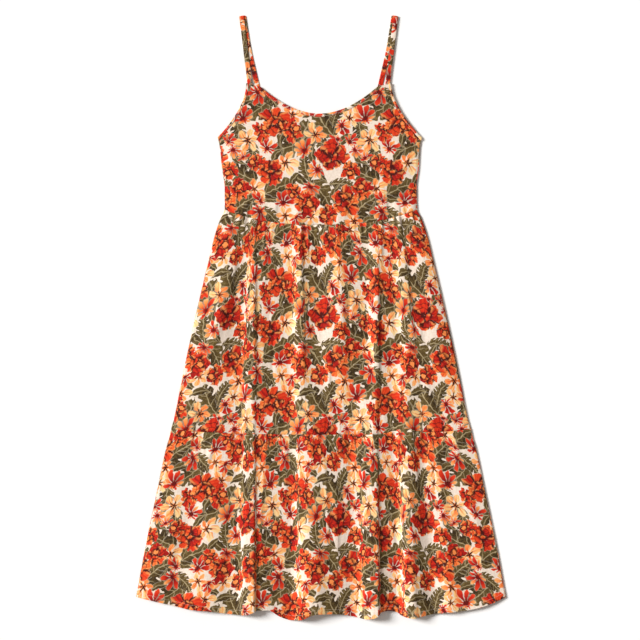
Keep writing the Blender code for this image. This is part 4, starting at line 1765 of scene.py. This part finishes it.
def moved_in(line: Array, distance: float) -> Array:
    """A line that runs left to right, moved down into the panel below it."""
    along = np.gradient(line, axis=0)
    along /= np.linalg.norm(along, axis=1)[:, None]
    return line + distance * np.stack([along[:, 1], -along[:, 0]], axis=1)


@dataclass
class Straps:
    """Two narrow straps, each sewn to both panels and lying folded double."""

    width: float = 9.6
    thickness: float = 1.15
    wall: float = 0.3
    low: float = 0.6
    high: float = 2.1
    cut: tuple[float, float] = (40.0, 90.0)
    cut_apart: tuple[float, float] = (55.0, 20.0)
    fold_y: float = 603.0
    front_end: float = 463.0
    back_end: float = 431.0
    around: int = 20
    front_steps: int = 46
    back_steps: int = 56
    fold_steps: int = 10

    def build(self, binding: Material) -> None:
        """Builds and dresses both straps."""
        for hand, mirror in (("left", -1), ("right", 1)):
            strap = self.strap(f"folded_strap_{hand}", mirror)
            fit(strap, binding, "binding_cloth", f"strap_{hand}")

    def strand(self, name: str, ys: Array, level: float) -> tuple[Array, Array]:
        """A strand's middles and sideways directions."""
        x = read(STRAP_POINTS, "y", name, ys)
        slope = np.gradient(x, ys)
        middles = np.stack([x, ys, np.full_like(ys, level)], axis=1)
        sideways = np.stack([np.ones_like(ys), -slope, np.zeros_like(ys)], axis=1)
        return middles, sideways / np.linalg.norm(sideways, axis=1)[:, None]

    def strap(self, name: str, mirror: int) -> Piece:
        """One strap: up the front strand, over in a tight fold, and down the back strand."""
        low, high = self.low, self.high
        ys = np.linspace(self.front_end, self.fold_y, self.front_steps)
        front, front_side = self.strand("front_x", ys, high)
        ys = np.linspace(self.back_end, self.fold_y, self.back_steps)
        back, back_side = self.strand("back_x", ys, low)
        across = front_side[-1] + back_side[-1]
        across /= np.linalg.norm(across)
        onward = np.array([-across[1], across[0], 0.0])
        middles, sideways = list(front), list(front_side)
        outward = [np.array([0.0, 0.0, 1.0])] * len(front)
        for i in range(1, self.fold_steps):
            angle = math.pi * i / self.fold_steps
            spot = front[-1] + (back[-1] - front[-1]) * i / self.fold_steps
            spot[2] = (low + high) / 2 + (high - low) / 2 * math.cos(angle)
            middles.append(spot + onward * (high - low) / 2 * math.sin(angle))
            sideways.append(across)
            outward.append(onward * math.sin(angle) + np.array([0.0, 0.0, math.cos(angle)]))
        middles.extend(back[::-1])
        sideways.extend(back_side[::-1])
        outward.extend([np.array([0.0, 0.0, -1.0])] * len(back))
        middles, sideways, outward = (np.array(part) for part in (middles, sideways, outward))
        turn = np.linspace(0, math.tau, self.around + 1)
        flat_side = np.sign(np.cos(turn)) * np.abs(np.cos(turn)) ** 0.8 * self.width / 2
        flat_up = np.sign(np.sin(turn)) * np.abs(np.sin(turn)) ** 0.6 * self.thickness / 2
        points = middles[:, None] + sideways[:, None] * flat_side[None, :, None]
        points = points + outward[:, None] * flat_up[None, :, None]
        points[..., 0] *= mirror
        ring = run_along(np.stack([flat_side, flat_up], axis=1))
        start = tuple(at + mirror * apart for at, apart in zip(self.cut, self.cut_apart))
        flat = on_bias(run_along(middles)[:, None], ring[None, :], start)
        piece = sheet_mesh(name, points, flat, mirror < 0, self.wall)
        bpy.ops.object.mode_set(mode="EDIT")
        bpy.ops.mesh.select_all(action="SELECT")
        bpy.ops.mesh.remove_doubles(threshold=0.00001)
        bpy.ops.mesh.normals_make_consistent(inside=False)
        bpy.ops.object.mode_set(mode="OBJECT")
        return piece


@dataclass
class Studio:
    """A pale floor, soft light from the upper left and the camera straight above."""

    centre: tuple[float, float] = (-0.002, -0.0048)
    view_width: float = 1.28
    lens: float = 100.0
    sensor: float = 36.0
    sun_strength: float = 5.2
    sun_angle: float = 20.0
    sun_turn: tuple[float, float] = (62.0, 252.0)
    sky_strength: float = 0.32
    sky_colour: str = "#FFF5EC"

    def build(self) -> None:
        """Builds the floor, the lights and the camera."""
        bpy.ops.object.select_all(action="DESELECT")
        bpy.ops.mesh.primitive_plane_add(size=12, location=(0, 0, -0.0002))
        floor = bpy.context.object
        floor.name = "studio_floor"
        floor.data.materials.append(BackdropPaper().build())
        sun = bpy.data.lights.new("window_light", "SUN")
        sun.energy = self.sun_strength
        sun.angle = math.radians(self.sun_angle)
        lamp = bpy.data.objects.new("window_light", sun)
        lamp.rotation_euler = (math.radians(self.sun_turn[0]), 0, math.radians(self.sun_turn[1]))
        bpy.context.scene.collection.objects.link(lamp)
        world = bpy.data.worlds.new("studio_sky")
        world.use_nodes = True
        sky = world.node_tree.nodes["Background"].inputs
        sky["Color"].default_value = linear(self.sky_colour)
        sky["Strength"].default_value = self.sky_strength
        bpy.context.scene.world = world
        camera = bpy.data.cameras.new("overhead_camera")
        camera.lens = self.lens
        camera.sensor_width = self.sensor
        eye = bpy.data.objects.new("overhead_camera", camera)
        eye.location = (*self.centre, self.view_width * self.lens / self.sensor + 0.004)
        bpy.context.scene.collection.objects.link(eye)
        bpy.context.scene.camera = eye
        bpy.context.scene.view_settings.view_transform = "Standard"


def main() -> None:
    """Builds the dress and its studio."""
    logging.basicConfig(level=logging.INFO, format="%(name)s: %(message)s")
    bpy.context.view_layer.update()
    Studio().build()
    LOG.info("studio ready")
    cloth = PrintedVoile().build()
    stitching = Stitching(SewingThread().build())
    LowerTier().build(cloth, stitching)
    UpperTier().build(cloth)
    Bodice().build(cloth, cloth, stitching)
    Straps().build(cloth)


if __name__ == "__main__":
    main()
